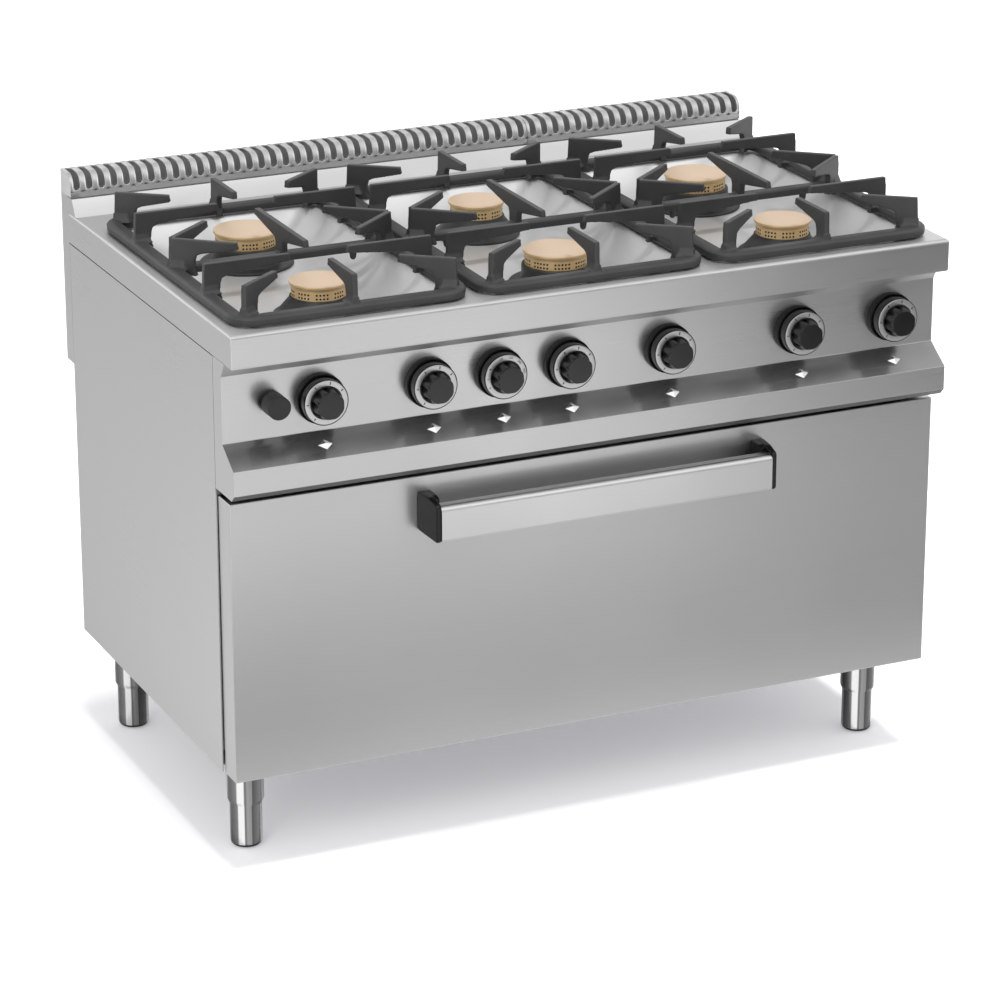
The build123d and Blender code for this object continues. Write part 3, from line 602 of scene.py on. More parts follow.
def ported_ring(radius, z0, z1, groups, per_group, depth):
    """A wall round the z axis with two rows of small drilled ports in groups."""
    gap, margin, port = 1.35, 0.9, 1.7
    columns = []
    for _ in range(groups):
        columns += [("port", 1.0)] * per_group + [("plain", gap)]
    total = sum(width for _, width in columns)
    verts, faces, keys = [], [], {}

    def at(angle, z, r):
        key = (round(angle, 5) % round(2 * pi, 5), round(z, 4), round(r, 4))
        if key not in keys:
            keys[key] = len(verts)
            verts.append((r * cos(angle), r * sin(angle), z))
        return keys[key]

    step = (z1 - z0 - 2 * margin) / 2
    levels = [z0, z0 + margin, z0 + margin + step, z1 - margin, z1]
    rows = list(zip(levels, levels[1:], ("plain", "port", "port", "plain")))
    start = 0.0
    for kind, width in columns:
        a0 = 2 * pi * start / total
        a1 = 2 * pi * (start + width) / total
        start += width
        mid = (a0 + a1) / 2
        for low, high, row_kind in rows:
            zm = (low + high) / 2
            around = ((a0, low), (mid, low), (a1, low), (a1, zm), (a1, high), (mid, high), (a0, high), (a0, zm))
            outer = [at(a, z, radius) for a, z in around]
            if kind == "plain" or row_kind == "plain":
                faces.append(tuple(outer))
                continue
            hole = []
            for k in range(8):
                turn = radians(225 + 45 * k)
                hole.append((mid + port * cos(turn) / radius, zm + port * sin(turn)))
            inner = [at(a, z, radius) for a, z in hole]
            deep = [at(a, z, radius - depth) for a, z in hole]
            for k in range(8):
                m = (k + 1) % 8
                faces.append((outer[k], outer[m], inner[m], inner[k]))
                faces.append((inner[k], inner[m], deep[m], deep[k]))
            faces.append(tuple(deep))
    return verts, faces


def burner_cap(name, radius, mouth):
    """Brass cap: dished top with a rolled rim, a wall with ports and a spigot below. The ports' walls and the faces
    closing them are painted dark, as painted shade inside the holes.
    """
    seat, wall, top = CAP_SEAT, CAP_WALL, WORKTOP_Z + 16.0
    over = [(radius, wall), (radius + 0.5, wall + 2.2), (radius + 2.0, wall + 4.3), (radius + 3.0, wall + 6.0)]
    over += [(radius + 3.2, wall + 7.2), (radius + 2.9, top - 1.4), (radius + 1.8, top - 0.5), (radius - 0.5, top)]
    over += [(radius - 8, top + 0.25), (radius * 0.5, top + 0.5), (0, top + 0.5)]
    under = [(radius, seat), (mouth - 0.6, seat), (mouth - 1.0, seat - 7), (mouth - 4, seat - 7)]
    under += [(mouth - 4, wall), (0, wall)]
    groups, per_group = 9, 5 if radius > 45 else 4
    steps = groups * (per_group + 1) * 2
    parts = [ported_ring(radius, seat, wall, groups, per_group, 3.0)]
    parts += [lathe(profile, (0, 0), steps=steps) for profile in (over, under)]
    cap = tidy_mesh(mesh_piece(name, *joined(parts)))

    # Painted shade: the faces inside the ports take the dark iron finish.
    def in_shaded_port(polygon):
        out = hypot(polygon.center.x, polygon.center.y - FRONT * MM) / MM
        in_wall = seat + 0.5 < polygon.center.z / MM < wall - 0.5
        return in_wall and radius - 3.5 < out < radius - 0.6

    painted(cap, MATERIALS["burner_brass"], MATERIALS["burner_iron"], in_shaded_port)
    return cap


def burner_body(large):
    """A burner's (radius, z) profile above its neck."""
    outer, mouth, flange, _ = BURNER_RADII[large]
    low, rim = WORKTOP_Z - PAN_DEPTH + SHEET, BURNER_RIM
    profile = [(20, low), (flange - 1, low), (flange, low + 1), (flange, low + 3), (flange - 1.2, low + 4.2)]
    if large:
        profile += [(outer + 2.5, low + 5.5), (outer + 0.6, low + 8), (outer, low + 12)]
    else:
        profile += [(flange - 6, low + 6), (flange - 9, low + 10), (outer + 4, rim - 9)]
    profile += [(outer, rim - 4), (outer - 0.3, rim - 1), (outer - 1.2, rim), (mouth + 0.8, rim), (mouth, rim - 1)]
    return profile + [(mouth - 2, low + 12), (20, low + 8)]


def build_burners():
    neck_top = WORKTOP_Z - PAN_DEPTH + SHEET + 1
    neck = [(0, NECK_LOW), (22, NECK_LOW), (22, neck_top), (0, neck_top)]
    for large, (_, mouth, _, cap_radius) in BURNER_RADII.items():
        places = [(c, r) for c in COLUMNS for r in ROWS if ((c, r) in LARGE) == large]
        profile = burner_body(large)
        parts = []
        for column, row in places:
            centre = (COLUMNS[column], ROWS[row])
            parts.append(lathe(profile, centre, closed=True, steps=96))
            parts.append(lathe(neck, centre, steps=48))
        name = "large" if large else "small"
        body = tidy_mesh(mesh_piece(f"burner_castings_{name}", *joined(parts)))
        finish_piece(body, "cabinet", "burner_iron", f"burner_bodies_{name}", angle=40)
        cap = None
        for column, row in places:
            x, y = COLUMNS[column], ROWS[row]
            node_name = f"burner_cap_{column}_{row}"
            if cap is None:
                first_x, first_y = x, y
                obj = cap = burner_cap(f"{node_name}_turned", cap_radius, mouth)
                cap.location = Vector((x, y, 0)) * MM
            else:
                obj = copy_at(cap, f"{node_name}_turned", x - first_x, y - first_y)
            finish_piece(obj, node_name, "burner_brass", node_name, angle=30)


PAN_HALF_X, PAN_HALF_Y, PAN_CORNER = 170.0, 270.0, 43.0


def build_pans():
    """Pressed pans: a rim on the worktop, a rolled edge and sides that ease into the floor."""
    roll, roll_drop, run = 2.6, 1.2, 62.0
    steps = [(-7.0, 0.0), (-5.5, 1.2), (-1.0, 1.2), (1.2, 0.6), (roll, -roll_drop)]
    for k in range(1, 15):
        t = k / 14
        steps.append((roll + (run - roll) * t, -roll_drop - (PAN_DEPTH - 2 * roll_drop) * (1 - (1 - t) ** 2.0)))
    parts = []
    for x in COLUMNS.values():
        loops = []
        for inset, z in steps:
            radius = PAN_CORNER - 0.12 * inset if inset > 0 else PAN_CORNER - inset
            ring = loop_points(PAN_HALF_X - inset, PAN_HALF_Y - inset, radius, 10)
            loops.append([(x + px, GRATE_MID + py, WORKTOP_Z + z) for px, py in ring])
        parts.append(lidded(loops))
    pans = tidy_mesh(mesh_piece("pans_pressed", *joined(parts)))
    if any(polygon.normal.z < 0 for polygon in pans.data.polygons):
        pans.data.flip_normals()
    finish_piece(pans, "cabinet", "pan_stainless", "burner_pans", angle=60)


# ---- knobs, dials and igniter
DIAL_RADIUS = 30
DIAL_FACE = 14.0
IGNITER_X, IGNITER_Z = -523.0, 748.0


def turned_y(profile, x, steps):
    """A closed profile turned about a knob's axis."""
    return lathe(profile, (x, 0, KNOB_Z), "y", steps, closed=True)


def knob_hub():
    """Tapered hub with eight finger grooves and a flat face, on a round skirt."""
    levels = [(16.5, 23.4, 3.6), (13.5, 23.2, 3.6), (9.0, 22.8, 3.4), (4.0, 22.2, 2.9)]
    levels += [(-1.0, 21.6, 2.0), (-4.0, 21.2, 1.1), (-5.4, 20.6, 0.6), (-6.0, 19.6, 0.3)]
    steps = 96
    loops = []
    for y, radius, depth in levels:
        ring = []
        for k in range(steps):
            a = 2 * pi * k / steps
            groove = (0.5 + 0.5 * cos(8 * a)) ** 1.6
            r = radius - depth * groove
            ring.append((r * cos(a), y, KNOB_Z + r * sin(a)))
        loops.append(ring)
    verts, faces = lidded(loops)
    faces.append(tuple(range(steps))[::-1])
    skirt = [(24, 39), (34.2, 39), (35.2, 38), (35.4, 18.0), (35.4, 15.2), (35.0, 14.4), (34.6, 14.6)]
    skirt += [(34.4, 17.6), (24, 17.6)]
    return joined([(verts, faces), turned_y(skirt, 0, 96)])


def dial_text(size, radius, labels):
    """Plain numbers round a dial, as a flat mesh just in front of it."""
    parts = []
    for text, angle in labels:
        curve = bpy.data.curves.new("dial_number", "FONT")
        curve.body = text
        curve.size = size
        curve.align_x = "CENTER"
        curve.align_y = "CENTER"
        curve.extrude = 0.12
        obj = new_object("dial_number", curve)
        bpy.context.view_layer.update()
        mesh = bpy.data.meshes.new_from_object(obj)
        turn = radians(angle)
        c, s = cos(turn), sin(turn)
        lean = turn - pi / 2
        lc, ls = cos(lean), sin(lean)
        verts = []
        for v in mesh.vertices:
            u, w = v.co.x * lc - v.co.y * ls, v.co.x * ls + v.co.y * lc
            verts.append((radius * c + u, DIAL_FACE - 0.05 - v.co.z, KNOB_Z + radius * s + w))
        parts.append((verts, [tuple(f.vertices) for f in mesh.polygons]))
        bpy.data.objects.remove(obj)
        bpy.data.curves.remove(curve)
    return joined(parts)


def dial(name, marks, numbers):
    """Metal dial ring with dark marks, and numbers on the oven's."""
    profile = [(22.6, 17.4), (34.3, 17.4), (34.3, 15.0), (33.9, 14.3), (33.2, DIAL_FACE), (26.2, DIAL_FACE)]
    profile += [(25.6, 14.4), (22.6, 16.6)]
    body = turned_y(profile, 0, 96)
    dark = []
    for angle, length in marks:
        a = radians(angle)
        c, s = cos(a), sin(a)
        inner, outer, half = DIAL_RADIUS - length / 2, DIAL_RADIUS + length / 2, 0.8
        corners = ((inner, -half), (outer, -half), (outer, half), (inner, half))
        outline = [(r * c - w * s, KNOB_Z + r * s + w * c) for r, w in corners]
        dark.append(prism(outline, DIAL_FACE - 0.12, DIAL_FACE + 0.1, "y"))
    if numbers:
        dark.append(dial_text(5.0, DIAL_RADIUS, numbers))
    obj = mesh_piece(name, *joined([body, *dark]))
    ring_faces = len(body[1])
    painted(obj, DIAL_METAL, MATERIALS["collar_plastic"], lambda polygon: polygon.index >= ring_faces)
    tidy_mesh(obj, 0.000001)
    return obj


def build_knobs():
    """A hub and a dial for each knob, the collars behind them, and the igniter's button."""
    hub = tidy_mesh(mesh_piece("knob_hub_1", *knob_hub()))
    plain = dial("dial_1", [(34, 4.2), (78, 4.6), (125, 4.2), (180, 3.0), (231, 3.6)], [])
    numbers = [("100", 108), ("150", 76), ("200", 44), ("250", 12), ("300", -20)]
    oven = dial("dial_oven", [(180, 2.0), (150, 3.6), (208, 2.6)], numbers)
    cup = [(9, 44), (38.2, 44), (38.5, 43.4), (38.5, 34.0), (38.0, 32.6), (37.2, 32), (36.6, 32.6), (36.5, 41), (9, 41)]
    collars = []
    for name, x in KNOBS.items():
        number = name.split("_")[1]
        if number == "1":
            pieces = [hub, plain]
        elif number == "oven":
            pieces = [copy_at(hub, "knob_hub_oven"), oven]
        else:
            pieces = [copy_at(hub, f"knob_hub_{number}"), copy_at(plain, f"dial_{number}")]
        for obj in pieces:
            obj.location = Vector((x * MM, 0, 0))
        finish_piece(pieces[0], name, "knob_plastic", name, angle=40)
        finish_piece(pieces[1], name, "handle_aluminium", angle=40)
        collars.append(turned_y(cup, x, 72))
    cups = tidy_mesh(mesh_piece("collar_cups", *joined(collars)))
    finish_piece(cups, "cabinet", "collar_plastic", "knob_collars", angle=40)

    outline = [(0, 5), (15.6, 5), (17.2, 5.6), (18, 7), (18.2, 34.5), (17.6, 35), (7, 35), (7, 68), (0, 68)]
    button = tidy_mesh(mesh_piece("igniter_cap", *lathe(outline, (IGNITER_X, 0, IGNITER_Z), "y", 72)))
    finish_piece(button, "igniter_button", "button_plastic", "igniter_button", angle=40)


# ---- door and handle
DOOR_HALF_X, DOOR_HALF_Z, DOOR_MID_Z = 597.0, 224.5, 377.5
DOOR_Y = 30.0
BAR_Y, BAR_LOW, BAR_TOP = -28.0, 512.0, 569.0
BAR_END, BAR_CAP_END, BAR_FOOT_START = 280.0, 295.0, 273.0


def build_handle():
    """Extruded bar between two moulded caps, each slanted at its end and standing on a foot."""
    y0, z0, z1 = BAR_Y, BAR_LOW, BAR_TOP
    outline = [(y0, z0, 4.0), (y0, z1, 9.0), (y0 + 24, z1 - 1.5, 1.0), (y0 + 24, z1 - 4.5, 0.5)]
    outline += [(y0 + 11, z1 - 4, 4.0), (y0 + 3.5, z1 - 12, 6.0), (y0 + 3.5, z0 + 3.5, 1.0)]
    outline += [(y0 + 24, z0 + 3.5, 0.5), (y0 + 24, z0, 0.5)]
    bar = tidy_mesh(mesh_piece("handle_extrusion", *prism(arc_corners(outline, 6), -BAR_END, BAR_END)))
    finish_piece(bar, "oven_door", "handle_aluminium", "handle_bar", angle=25)
    slant = 7.0
    low, high = z0 - 1.6, z1 + 8.0
    shell = [(DOOR_Y, low + 5, 5.0), (DOOR_Y, high, 4.0), (y0 + 26, high, 9.0), (y0, high - 5, 7.0), (y0, low, 6.0)]
    shell = arc_corners(shell, 6)
    foot = [(DOOR_Y - 0.5, low + 6, 2.0), (DOOR_Y - 0.5, high - 0.5, 2.0), (y0 + 34, high - 0.5, 5.0)]
    foot = arc_corners(foot + [(y0 + 25, high - 3.5, 1.0), (y0 + 25, low + 5, 1.0)], 4)
    shells, feet = [], []
    for side in (-1, 1):
        verts, faces = prism(shell, *sorted((side * BAR_END, side * BAR_CAP_END)))
        leaning = []
        for x, y, z in verts:
            shift = side * slant * (DOOR_Y - y) / (DOOR_Y - y0) if abs(x) > BAR_END + 1 else 0.0
            leaning.append((x - shift, y, z))
        shells.append((leaning, faces))
        feet.append(prism(foot, *sorted((side * BAR_FOOT_START, side * (BAR_END + 4)))))
    caps = tidy_mesh(mesh_piece("handle_caps_moulded", *joined(shells)))
    bevel(caps, 3.2, 4, 40, clamp=False)
    finish_piece(caps, "oven_door", "handle_plastic", "handle_end_caps", angle=50)
    rests = tidy_mesh(mesh_piece("handle_cap_feet", *joined(feet)))
    bevel(rests, 0.8, 3, 40)
    finish_piece(rests, "oven_door", "handle_plastic", "handle_end_caps", angle=50)


def build_door():
    """Folded door skin with rounded folds."""
    loops = []
    for inset, y in ((0, 74), (0, 32.2), (0.3, 31.1), (1.1, 30.3), (2.2, DOOR_Y)):
        across, up = (DOOR_HALF_X - inset) / DOOR_HALF_X, (DOOR_HALF_Z - inset) / DOOR_HALF_Z
        outline = loop_points(DOOR_HALF_X, DOOR_HALF_Z, 2.0, 4)
        loops.append([(x * across, y, DOOR_MID_Z + z * up) for x, z in outline])
    door = tidy_mesh(mesh_piece("door_skin", *lidded(loops)))
    solidified(door, SHEET)
    finish_piece(door, "oven_door", "door_stainless", "door_outer_panel", angle=40)


# ---- worktop and control panel
CUT_HALF_X, CUT_HALF_Y, CUT_CORNER = PAN_HALF_X + 0.5, PAN_HALF_Y + 0.5, PAN_CORNER + 0.5
COLUMN_EDGE = 197.0
SKIRT = 50.0
PANEL_HALF = 600.0
PANEL_Y, PANEL_TOP, PANEL_FOLD = 44.0, 820.0, 796.0
SLOPE_TOP, SLOPE_LOW = 692.0, 662.0
NOSE_TURN, NOSE_LOW = 624.0, 614.0


def around_hole(x, x0, x1, y0, y1):
    """A pan's cut-out in the worktop, and the points of its column's edge to join it to."""
    hole = [(x + px, GRATE_MID + py) for px, py in loop_points(CUT_HALF_X, CUT_HALF_Y, CUT_CORNER, 10)]
    flat_x, flat_y = CUT_HALF_X - CUT_CORNER, CUT_HALF_Y - CUT_CORNER
    rim = []
    for px, py in hole:
        u, v = px - x, py - GRATE_MID
        edge_x, edge_y = x1 if u > 0 else x0, y1 if v > 0 else y0
        if abs(u) <= flat_x + 1e-6:
            rim.append((px, edge_y))
            continue
        if abs(v) <= flat_y + 1e-6:
            rim.append((edge_x, py))
            continue
        turn = atan2(abs(v) - flat_y, abs(u) - flat_x) / (pi / 2)
        if turn < 0.5:
            away = flat_y + (abs(edge_y - GRATE_MID) - flat_y) * turn * 2
            rim.append((edge_x, GRATE_MID + copysign(away, v)))
        else:
            away = flat_x + (abs(edge_x - x) - flat_x) * (1 - turn) * 2
            rim.append((x + copysign(away, u), edge_y))
    return rim, hole


def build_worktop():
    """Pressed top: folded skirts with rounded bends, three cut-outs and a lip under the front."""
    back, side_bend, front_bend, corner = 717.0, 4.0, 6.0, 1.4
    levels = []
    for angle in range(0, 91, 6):
        t = radians(angle)
        inset, drop = 1 - sin(t), 1 - cos(t)
        levels.append((side_bend * inset, front_bend * inset, side_bend * drop, front_bend * drop))
    levels += [(e, e, SKIRT - up, SKIRT - up) for e, up in ((0, 1.0), (0.3, 0.3), (1.0, 0))]
    loops = []
    for inset_x, inset_y, drop_side, drop_front in levels:
        x = HALF - inset_x
        loop = [(-x, back, WORKTOP_Z - drop_side)]
        for k in range(5):
            a = radians(22.5 * k)
            z = WORKTOP_Z - (drop_side + (drop_front - drop_side) * k / 4)
            loop.append((-x + corner * (1 - cos(a)), inset_y + corner * (1 - sin(a)), z))
        loop += [(-px, py, pz) for px, py, pz in loop[::-1]]
        loops.append(loop)
    n = len(loops[0])
    faces = []
    for a in range(0, (len(loops) - 1) * n, n):
        faces += [(a + k, a + n + k, a + n + k + 1, a + k + 1) for k in range(n - 1)]
    parts = [([v for loop in loops for v in loop], faces)]
    lip_x, lip_y0, lip_y1, low = HALF - 1, 1.0, 36.0, WORKTOP_Z - SKIRT
    lip = [(-lip_x, lip_y0, low), (lip_x, lip_y0, low), (lip_x, lip_y1, low), (-lip_x, lip_y1, low)]
    parts.append((lip, [(0, 1, 2, 3)]))
    edges_x = [-(HALF - side_bend), -COLUMN_EDGE, COLUMN_EDGE, HALF - side_bend]
    for x, x0, x1 in zip(sorted(COLUMNS.values()), edges_x, edges_x[1:]):
        rim, hole = around_hole(x, x0, x1, front_bend, back)
        loops = [[(px, py, WORKTOP_Z) for px, py in ring] for ring in (rim, hole)]
        loops.append([(px, py, WORKTOP_Z - 1.6) for px, py in hole])
        parts.append(bridged(loops, closed=False))
    top = tidy_mesh(mesh_piece("worktop_pressed", *joined(parts)), 0.00002)
    solidified(top, SHEET)
    # Painted light: faces that look up take the lighter copy of the steel.
    painted(top, MATERIALS["brushed_stainless"], LIT_TOP_STEEL, lambda polygon: polygon.normal.z > 0.6)
    finish_piece(top, "cabinet", "brushed_stainless", "worktop", angle=40)


def build_control_panel():
    """Folded panel from the worktop over the slope and round the bullnose, and the studs on the slope."""
    points = [(29, PANEL_TOP, 0), (PANEL_Y, PANEL_FOLD, 0.8), (PANEL_Y, SLOPE_TOP, 1.0), (0, SLOPE_LOW, 0.9)]
    points += [(0, NOSE_TURN, 1.0), (10, NOSE_LOW, 0.8), (76, NOSE_LOW, 0), (76, PANEL_TOP, 0)]
    panel = mesh_piece("panel_folded", *prism(arc_corners(points, 4), -PANEL_HALF, PANEL_HALF))
    for material in (MATERIALS["brushed_stainless"], SHADED_GAP_STEEL, SHADED_SLOPE_STEEL, SHADED_NOSE_UNDERSIDE):
        panel.data.materials.append(material)
    tidy_mesh(panel)
    for polygon in panel.data.polygons:
        z, normal = polygon.center.z / MM, polygon.normal
        if z > PANEL_FOLD + 1 and normal.y < -0.5:
            # Painted shade: the strip under the worktop takes the darker steel.
            polygon.material_index = 1
        elif SLOPE_LOW + 2 < z < SLOPE_TOP - 1 and normal.z > 0.5:
            # Painted shade: the slope takes the darker steel.
            polygon.material_index = 2
        elif z < NOSE_TURN - 1 and normal.z < -0.3:
            # Painted shade: the face under the nose takes the darkest steel.
            polygon.material_index = 3
    finish_piece(panel, "cabinet", "brushed_stainless", "control_panel", angle=30)

    studs = []
    fall = SLOPE_TOP - SLOPE_LOW
    out = Vector((0, -fall, PANEL_Y)).normalized()
    down = Vector((0, -PANEL_Y, -fall)).normalized() * 9.4
    across = Vector((11.5, 0, 0))
    for x in KNOBS.values():
        middle = Vector((x, PANEL_Y / 2, (SLOPE_TOP + SLOPE_LOW) / 2))
        base = [middle + across, middle + down, middle - across, middle - down]
        verts = base + [middle + out * 3.4] + [p - out * 0.5 for p in base]
        faces = [(0, 1, 4), (1, 2, 4), (2, 3, 4), (3, 0, 4)]
        faces += [(0, 5, 6, 1), (1, 6, 7, 2), (2, 7, 8, 3), (3, 8, 5, 0), (8, 7, 6, 5)]
        studs.append(([tuple(p) for p in verts], faces))
    markers = tidy_mesh(mesh_piece("marker_studs", *joined(studs)))
    finish_piece(markers, "cabinet", "marker_steel", "index_markers", angle=5)


# ---- legs
def build_legs():
    """Sleeve with a stepped lower end, and the foot in it."""
    legs = {"front_left": (-541, 138), "front_right": (541, 138), "rear_left": (-541, 653), "rear_right": (541, 653)}
    sleeve_profile = [(25.4, 155), (28.5, 155), (28.5, 79), (28.0, 76.6), (26.3, 73.4), (25.9, 72.2), (25.4, 72)]
    sleeve_profile += [(25.4, 80)]
    foot_profile = [(0, 149), (25, 149), (25, 9.0), (24.6, 6.0), (23.4, 3.6), (21.4, 1.6), (18.5, 0.4), (15, 0), (0, 0)]
    sleeve = foot = None
    for name, (x, y) in legs.items():
        if sleeve is None:
            sleeve = tidy_mesh(mesh_piece(f"leg_tube_{name}", *lathe(sleeve_profile, (0, 0), steps=72, closed=True)))
            foot = mesh_piece(f"foot_turned_{name}", *lathe(foot_profile, (0, 0), steps=72))
            tidy_mesh(foot)
            rubber_top = 5.0 * MM
            painted(foot, MATERIALS["leg_stainless"], FOOT_RUBBER, lambda polygon: polygon.center.z < rubber_top)
            pieces = [sleeve, foot]
            replaced = ["leg_sleeves"]
        else:
            pieces = [copy_at(sleeve, f"leg_tube_{name}"), copy_at(foot, f"foot_turned_{name}")]
            replaced = []
        for obj in pieces:
            obj.location = Vector((x, y, 0)) * MM
        finish_piece(pieces[0], "cabinet", "leg_stainless", *replaced, angle=30)
        finish_piece(pieces[1], f"foot_{name}", "leg_stainless", f"foot_{name}", angle=30)


# ---- flue caps
CAP_FRONT, CAP_BACK, CAP_RADIUS = 700.0, 750.0, 20.0
CAP_LOW, CAP_TOP = WORKTOP_Z + 28.0, WORKTOP_Z + 66.0
LIP = 1.0


def cap_path():
    """The cap's sheet in section from its front edge to its back edge.

    Gives a function from the length along it to (y, z, outward y, outward z), and the whole length.
    """
    front, top, r = CAP_FRONT + LIP, CAP_TOP - LIP, CAP_RADIUS
    straight = top - r - CAP_LOW
    bend = pi / 2 * r
    flat = CAP_BACK - front - r

    def at(s):
        if s <= straight:
            return front, CAP_LOW + s, -1.0, 0.0
        if s <= straight + bend:
            a = (s - straight) / r
            return front + r - r * cos(a), top - r + r * sin(a), -cos(a), sin(a)
        return front + r + (s - straight - bend), top, 0.0, 1.0
    return at, straight + bend + flat


def flue_cap(name, x0, x1, slots):
    """Slotted cap: each slot has a raised rim and runs from the front face over onto the top."""
    at, length = cap_path()
    half = (x1 - x0) / slots / 2
    width, margin = 5.1, 8.2
    first, last = 17.0, length - 9.0
    side, end_steps = 14, 6

    def stadium(grow):
        w = width + grow
        points = [(w, first + (last - first) * k / side) for k in range(side + 1)]
        turns = [pi * k / end_steps for k in range(1, end_steps)]
        points += [(w * cos(a), last + w * sin(a)) for a in turns]
        points += [(-w, last + (first - last) * k / side) for k in range(side + 1)]
        return points + [(-w * cos(a), first - w * sin(a)) for a in turns]

    rim = []
    for u, s in stadium(0):
        if first <= s <= last and abs(abs(u) - width) < 1e-6:
            rim.append((copysign(half, u), s))
        else:
            edge = last if s > last else first
            spread, t = u / width, (s - edge) / width
            scale = 1 / max(abs(spread), abs(t))
            rim.append((half * spread * scale, edge + margin * t * scale))

    def lay(points, lift, middle):
        out = []
        for u, s in points:
            y, z, ny, nz = at(s)
            out.append((middle + u, y + ny * lift, z + nz * lift))
        return out

    rings = [(0.0, -1.4), (0.0, 0.2), (0.3, 0.7), (0.9, LIP), (1.5, 0.8), (2.3, 0.2), (2.8, 0.0)]
    parts = []
    for n in range(slots):
        middle = x0 + (n + 0.5) * 2 * half
        loops = [lay(stadium(grow), lift, middle) for grow, lift in rings]
        loops.append(lay(rim, 0.0, middle))
        parts.append(bridged(loops, closed=False))
        for s0, s1 in ((0.0, first - margin), (last + margin, length)):
            quad = lay([(-half, s0), (half, s0), (half, s1), (-half, s1)], 0.0, middle)
            parts.append((quad, [(0, 1, 2, 3)]))
    ends = [at(length * k / 24)[:2] for k in range(25)] + [(CAP_BACK, CAP_LOW)]
    for x in (x0, x1):
        parts.append(([(x, y, z) for y, z in ends], [tuple(range(len(ends)))]))
    corners = ((x0, CAP_LOW), (x1, CAP_LOW), (x1, CAP_TOP - LIP), (x0, CAP_TOP - LIP))
    parts.append(([(x, CAP_BACK, z) for x, z in corners], [(0, 1, 2, 3)]))
    return tidy_mesh(mesh_piece(name, *joined(parts)), 0.00002)


def build_flue_caps():
    for side, x0, x1, slots in (("left", -HALF, 199.5, 38), ("right", 200.5, HALF, 19)):
        cap = flue_cap(f"flue_cap_pressed_{side}", x0, x1, slots)
        # Painted light: the caps take the lighter copy of the steel.
        cap.data.materials.append(LIT_CAP_STEEL)
        finish_piece(cap, "cabinet", "brushed_stainless", f"flue_cap_{side}", angle=50)


build_grates()
build_burners()
build_pans()
build_knobs()
build_handle()
build_door()
build_worktop()
build_control_panel()
build_legs()
build_flue_caps()


# ---- light, floor and camera
ROOM_STRENGTH = 1.6
# Grey levels by sine of the elevation, in units of the room's strength: behind the range, and on the viewer's side.
BEHIND_LEVELS = [(0.0, 0.90), (0.14, 0.90), (0.32, 0.62), (0.46, 0.40), (0.60, 0.30), (1.0, 0.40)]
AHEAD_LEVELS = [(0.0, 0.45), (0.12, 0.27), (0.42, 0.27), (0.54, 0.95), (0.74, 1.0), (0.86, 0.55), (1.0, 0.40)]

# The floor as the steel shows it. Its tone runs along x, and slants with the distance ahead.
FLOOR_STRENGTH = 1.7
FLOOR_SLANT = 0.46
FADE = (-1.6, 0.66)
# The far part shows in the control panel, the near part in the door: light on the left, darker on the right.
FAR_LEVELS = [(0.0, 1.4), (0.16, 1.3), (0.27, 0.68), (0.40, 0.70), (0.48, 0.88), (0.58, 0.88), (0.68, 0.82)]
FAR_LEVELS += [(0.73, 0.66), (0.77, 0.42), (0.85, 0.15), (0.90, 0.02), (1.0, 0.01)]
NEAR_LEVELS = [(0.0, 1.4), (0.16, 1.3), (0.27, 0.94), (0.40, 0.94), (0.52, 0.98), (0.66, 1.0), (0.78, 0.96)]
NEAR_LEVELS += [(0.90, 0.88), (1.0, 0.84)]
LEFT_LEVELS = [(0.0, 0.60), (0.36, 0.58), (0.52, 0.44), (1.0, 0.40)]
# By distance: where the strength's levels run, and where the far part gives way to the near one.
AHEAD_AWAY = {
    "range": (-2.6, -0.4),
    "turn": (-1.98, -1.80),
    "levels": [
        (0.0, 0.62), (0.09, 0.62), (0.123, 1.45), (0.28, 1.45), (0.364, 0.74), (0.557, 0.42), (0.805, 0.24),
        (0.855, 0.24), (0.90, 0.6),
    ],
}
LEFT_AWAY = {
    "range": (-1.8, -0.6),
    "turn": (-1.55, -1.50),
    "levels": [(0.0, 0.76), (0.20, 0.76), (0.25, 0.98), (0.85, 0.98), (1.0, 0.80)],
}


def reflected_floor(name, across, along, away_axis, away, near_levels, far_levels):
    """Floor as the steel shows it, seen only in reflections."""
    x0, x1, y0, y1 = *across, *along
    corners = ((x0, y0), (x1, y0), (x1, y1), (x0, y1))
    floor = mesh_piece(name, [(x / MM, y / MM - FRONT, 4.0) for x, y in corners], [(0, 1, 2, 3)])
    material, tree, shader = new_material(name)
    axis = split(tree, object_place(tree))
    shift = maths(tree, "ADD", axis[0], maths(tree, "MULTIPLY", axis[1], FLOOR_SLANT))
    level = share(tree, shift, *FADE)
    far, near = ramp(tree, level, far_levels), ramp(tree, level, near_levels)
    reach = share(tree, axis[away_axis], *away["range"])
    wire(tree, shader, {
        "Emission Color": mixed(tree, share(tree, axis[away_axis], *away["turn"]), far, near),
        "Emission Strength": maths(tree, "MULTIPLY", ramp(tree, reach, away["levels"], "LINEAR"), FLOOR_STRENGTH),
        "Base Color": (0, 0, 0, 1),
        "Specular IOR Level": 0.0,
    })
    material.cycles.emission_sampling = "NONE"
    floor.data.materials.append(material)
    floor.visible_camera = False
    floor.visible_diffuse = False
    floor.visible_shadow = False


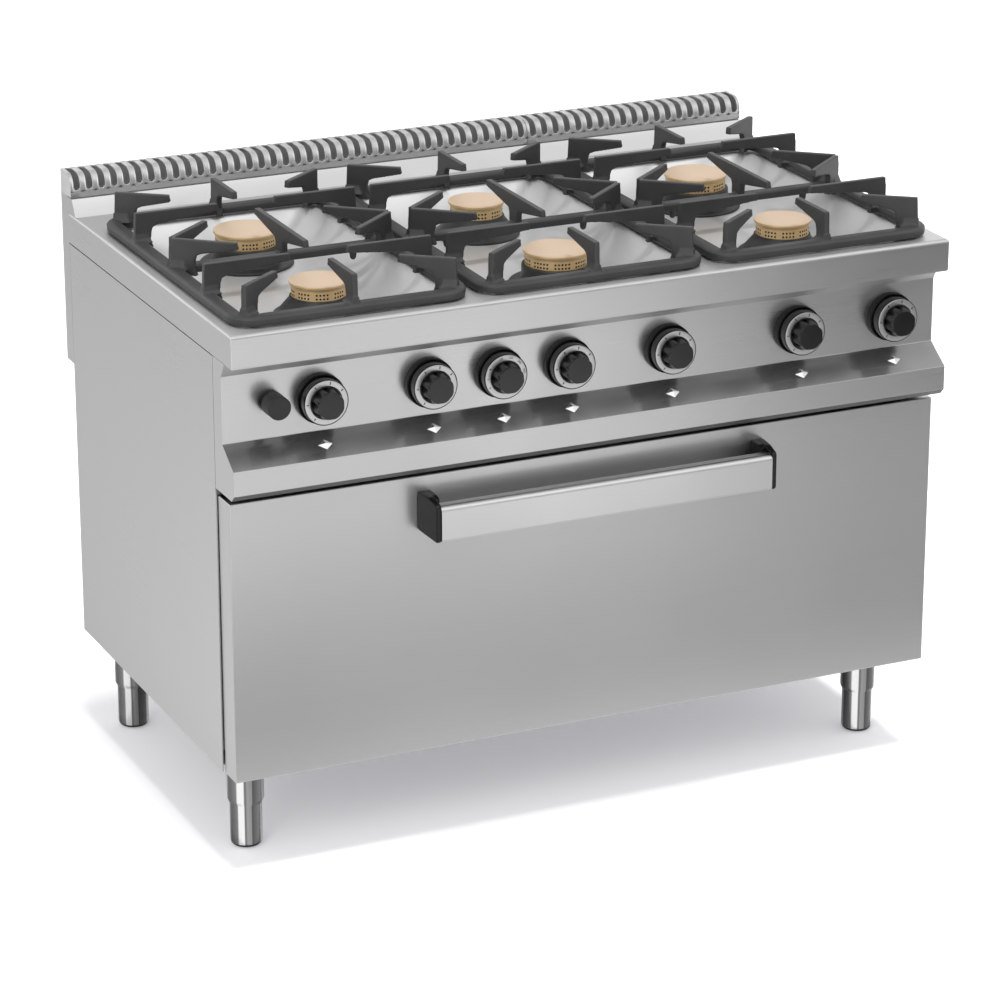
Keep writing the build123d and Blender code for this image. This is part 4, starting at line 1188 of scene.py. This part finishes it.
def build_stage():
    """The white floor, the floors for reflections and the room round them."""
    bpy.ops.mesh.primitive_plane_add(size=80)
    floor = bpy.context.object
    floor.name = "floor"
    material, tree, shader = new_material("floor_white")
    seen = node(tree, "ShaderNodeLightPath").outputs["Is Camera Ray"]
    wire(tree, shader, {
        "Base Color": (0.80, 0.80, 0.81, 1),
        "Roughness": 1.0,
        "Specular IOR Level": 0.0,
        "Emission Color": (0.95, 0.94, 1.0, 1),
        "Emission Strength": maths(tree, "MULTIPLY", seen, 0.28),
    })
    floor.data.materials.append(material)
    floor.location.z = -0.0005

    reflected_floor("floor_ahead", (-5.0, 9.0), (-14.0, -0.25), 1, AHEAD_AWAY, NEAR_LEVELS, FAR_LEVELS)
    reflected_floor("floor_left", (-9.0, -0.62), (-0.25, 9.0), 0, LEFT_AWAY, LEFT_LEVELS, LEFT_LEVELS)

    world = bpy.data.worlds.new("studio")
    scene.world = world
    world.use_nodes = True
    tree = world.node_tree
    axis = split(tree, node(tree, "ShaderNodeTexCoord").outputs["Generated"])
    ahead, behind = ramp(tree, axis[2], AHEAD_LEVELS), ramp(tree, axis[2], BEHIND_LEVELS)
    room = mixed(tree, share(tree, axis[1], -0.25, 0.25), ahead, behind)
    wire(tree, tree.nodes["Background"], {"Color": room, "Strength": ROOM_STRENGTH})


def build_lights():
    """Soft light from overhead, which casts the shadow, and a weak upright panel at the front left."""
    data = bpy.data.lights.new("overhead", "SUN")
    data.energy = 3.0
    data.angle = 0.22
    overhead = new_object("overhead", data)
    overhead.rotation_euler = (0.10, 0.05, 0)
    overhead.visible_glossy = False

    data = bpy.data.lights.new("key", "AREA")
    data.shape = "RECTANGLE"
    data.size, data.size_y = 0.9, 2.2
    data.energy = 30
    key = new_object("key", data)
    key.location = (-3.2, -3.0, 2.6)
    key.rotation_euler = (Vector((0, 0, 0.5)) - key.location).to_track_quat("-Z", "Y").to_euler()


def build_camera():
    data = bpy.data.cameras.new("camera")
    data.sensor_width = 36.0
    data.lens = 144.0
    data.clip_end = 200.0
    camera = new_object("camera", data)
    camera.location = (-2.5430, -5.5188, 2.6277)
    pitch_down, turn_right = 0.3501, 0.4309
    camera.rotation_euler = (pi / 2 - pitch_down, 0, -turn_right)
    scene.camera = camera


build_stage()
build_lights()
build_camera()
scene.view_settings.view_transform = "Standard"
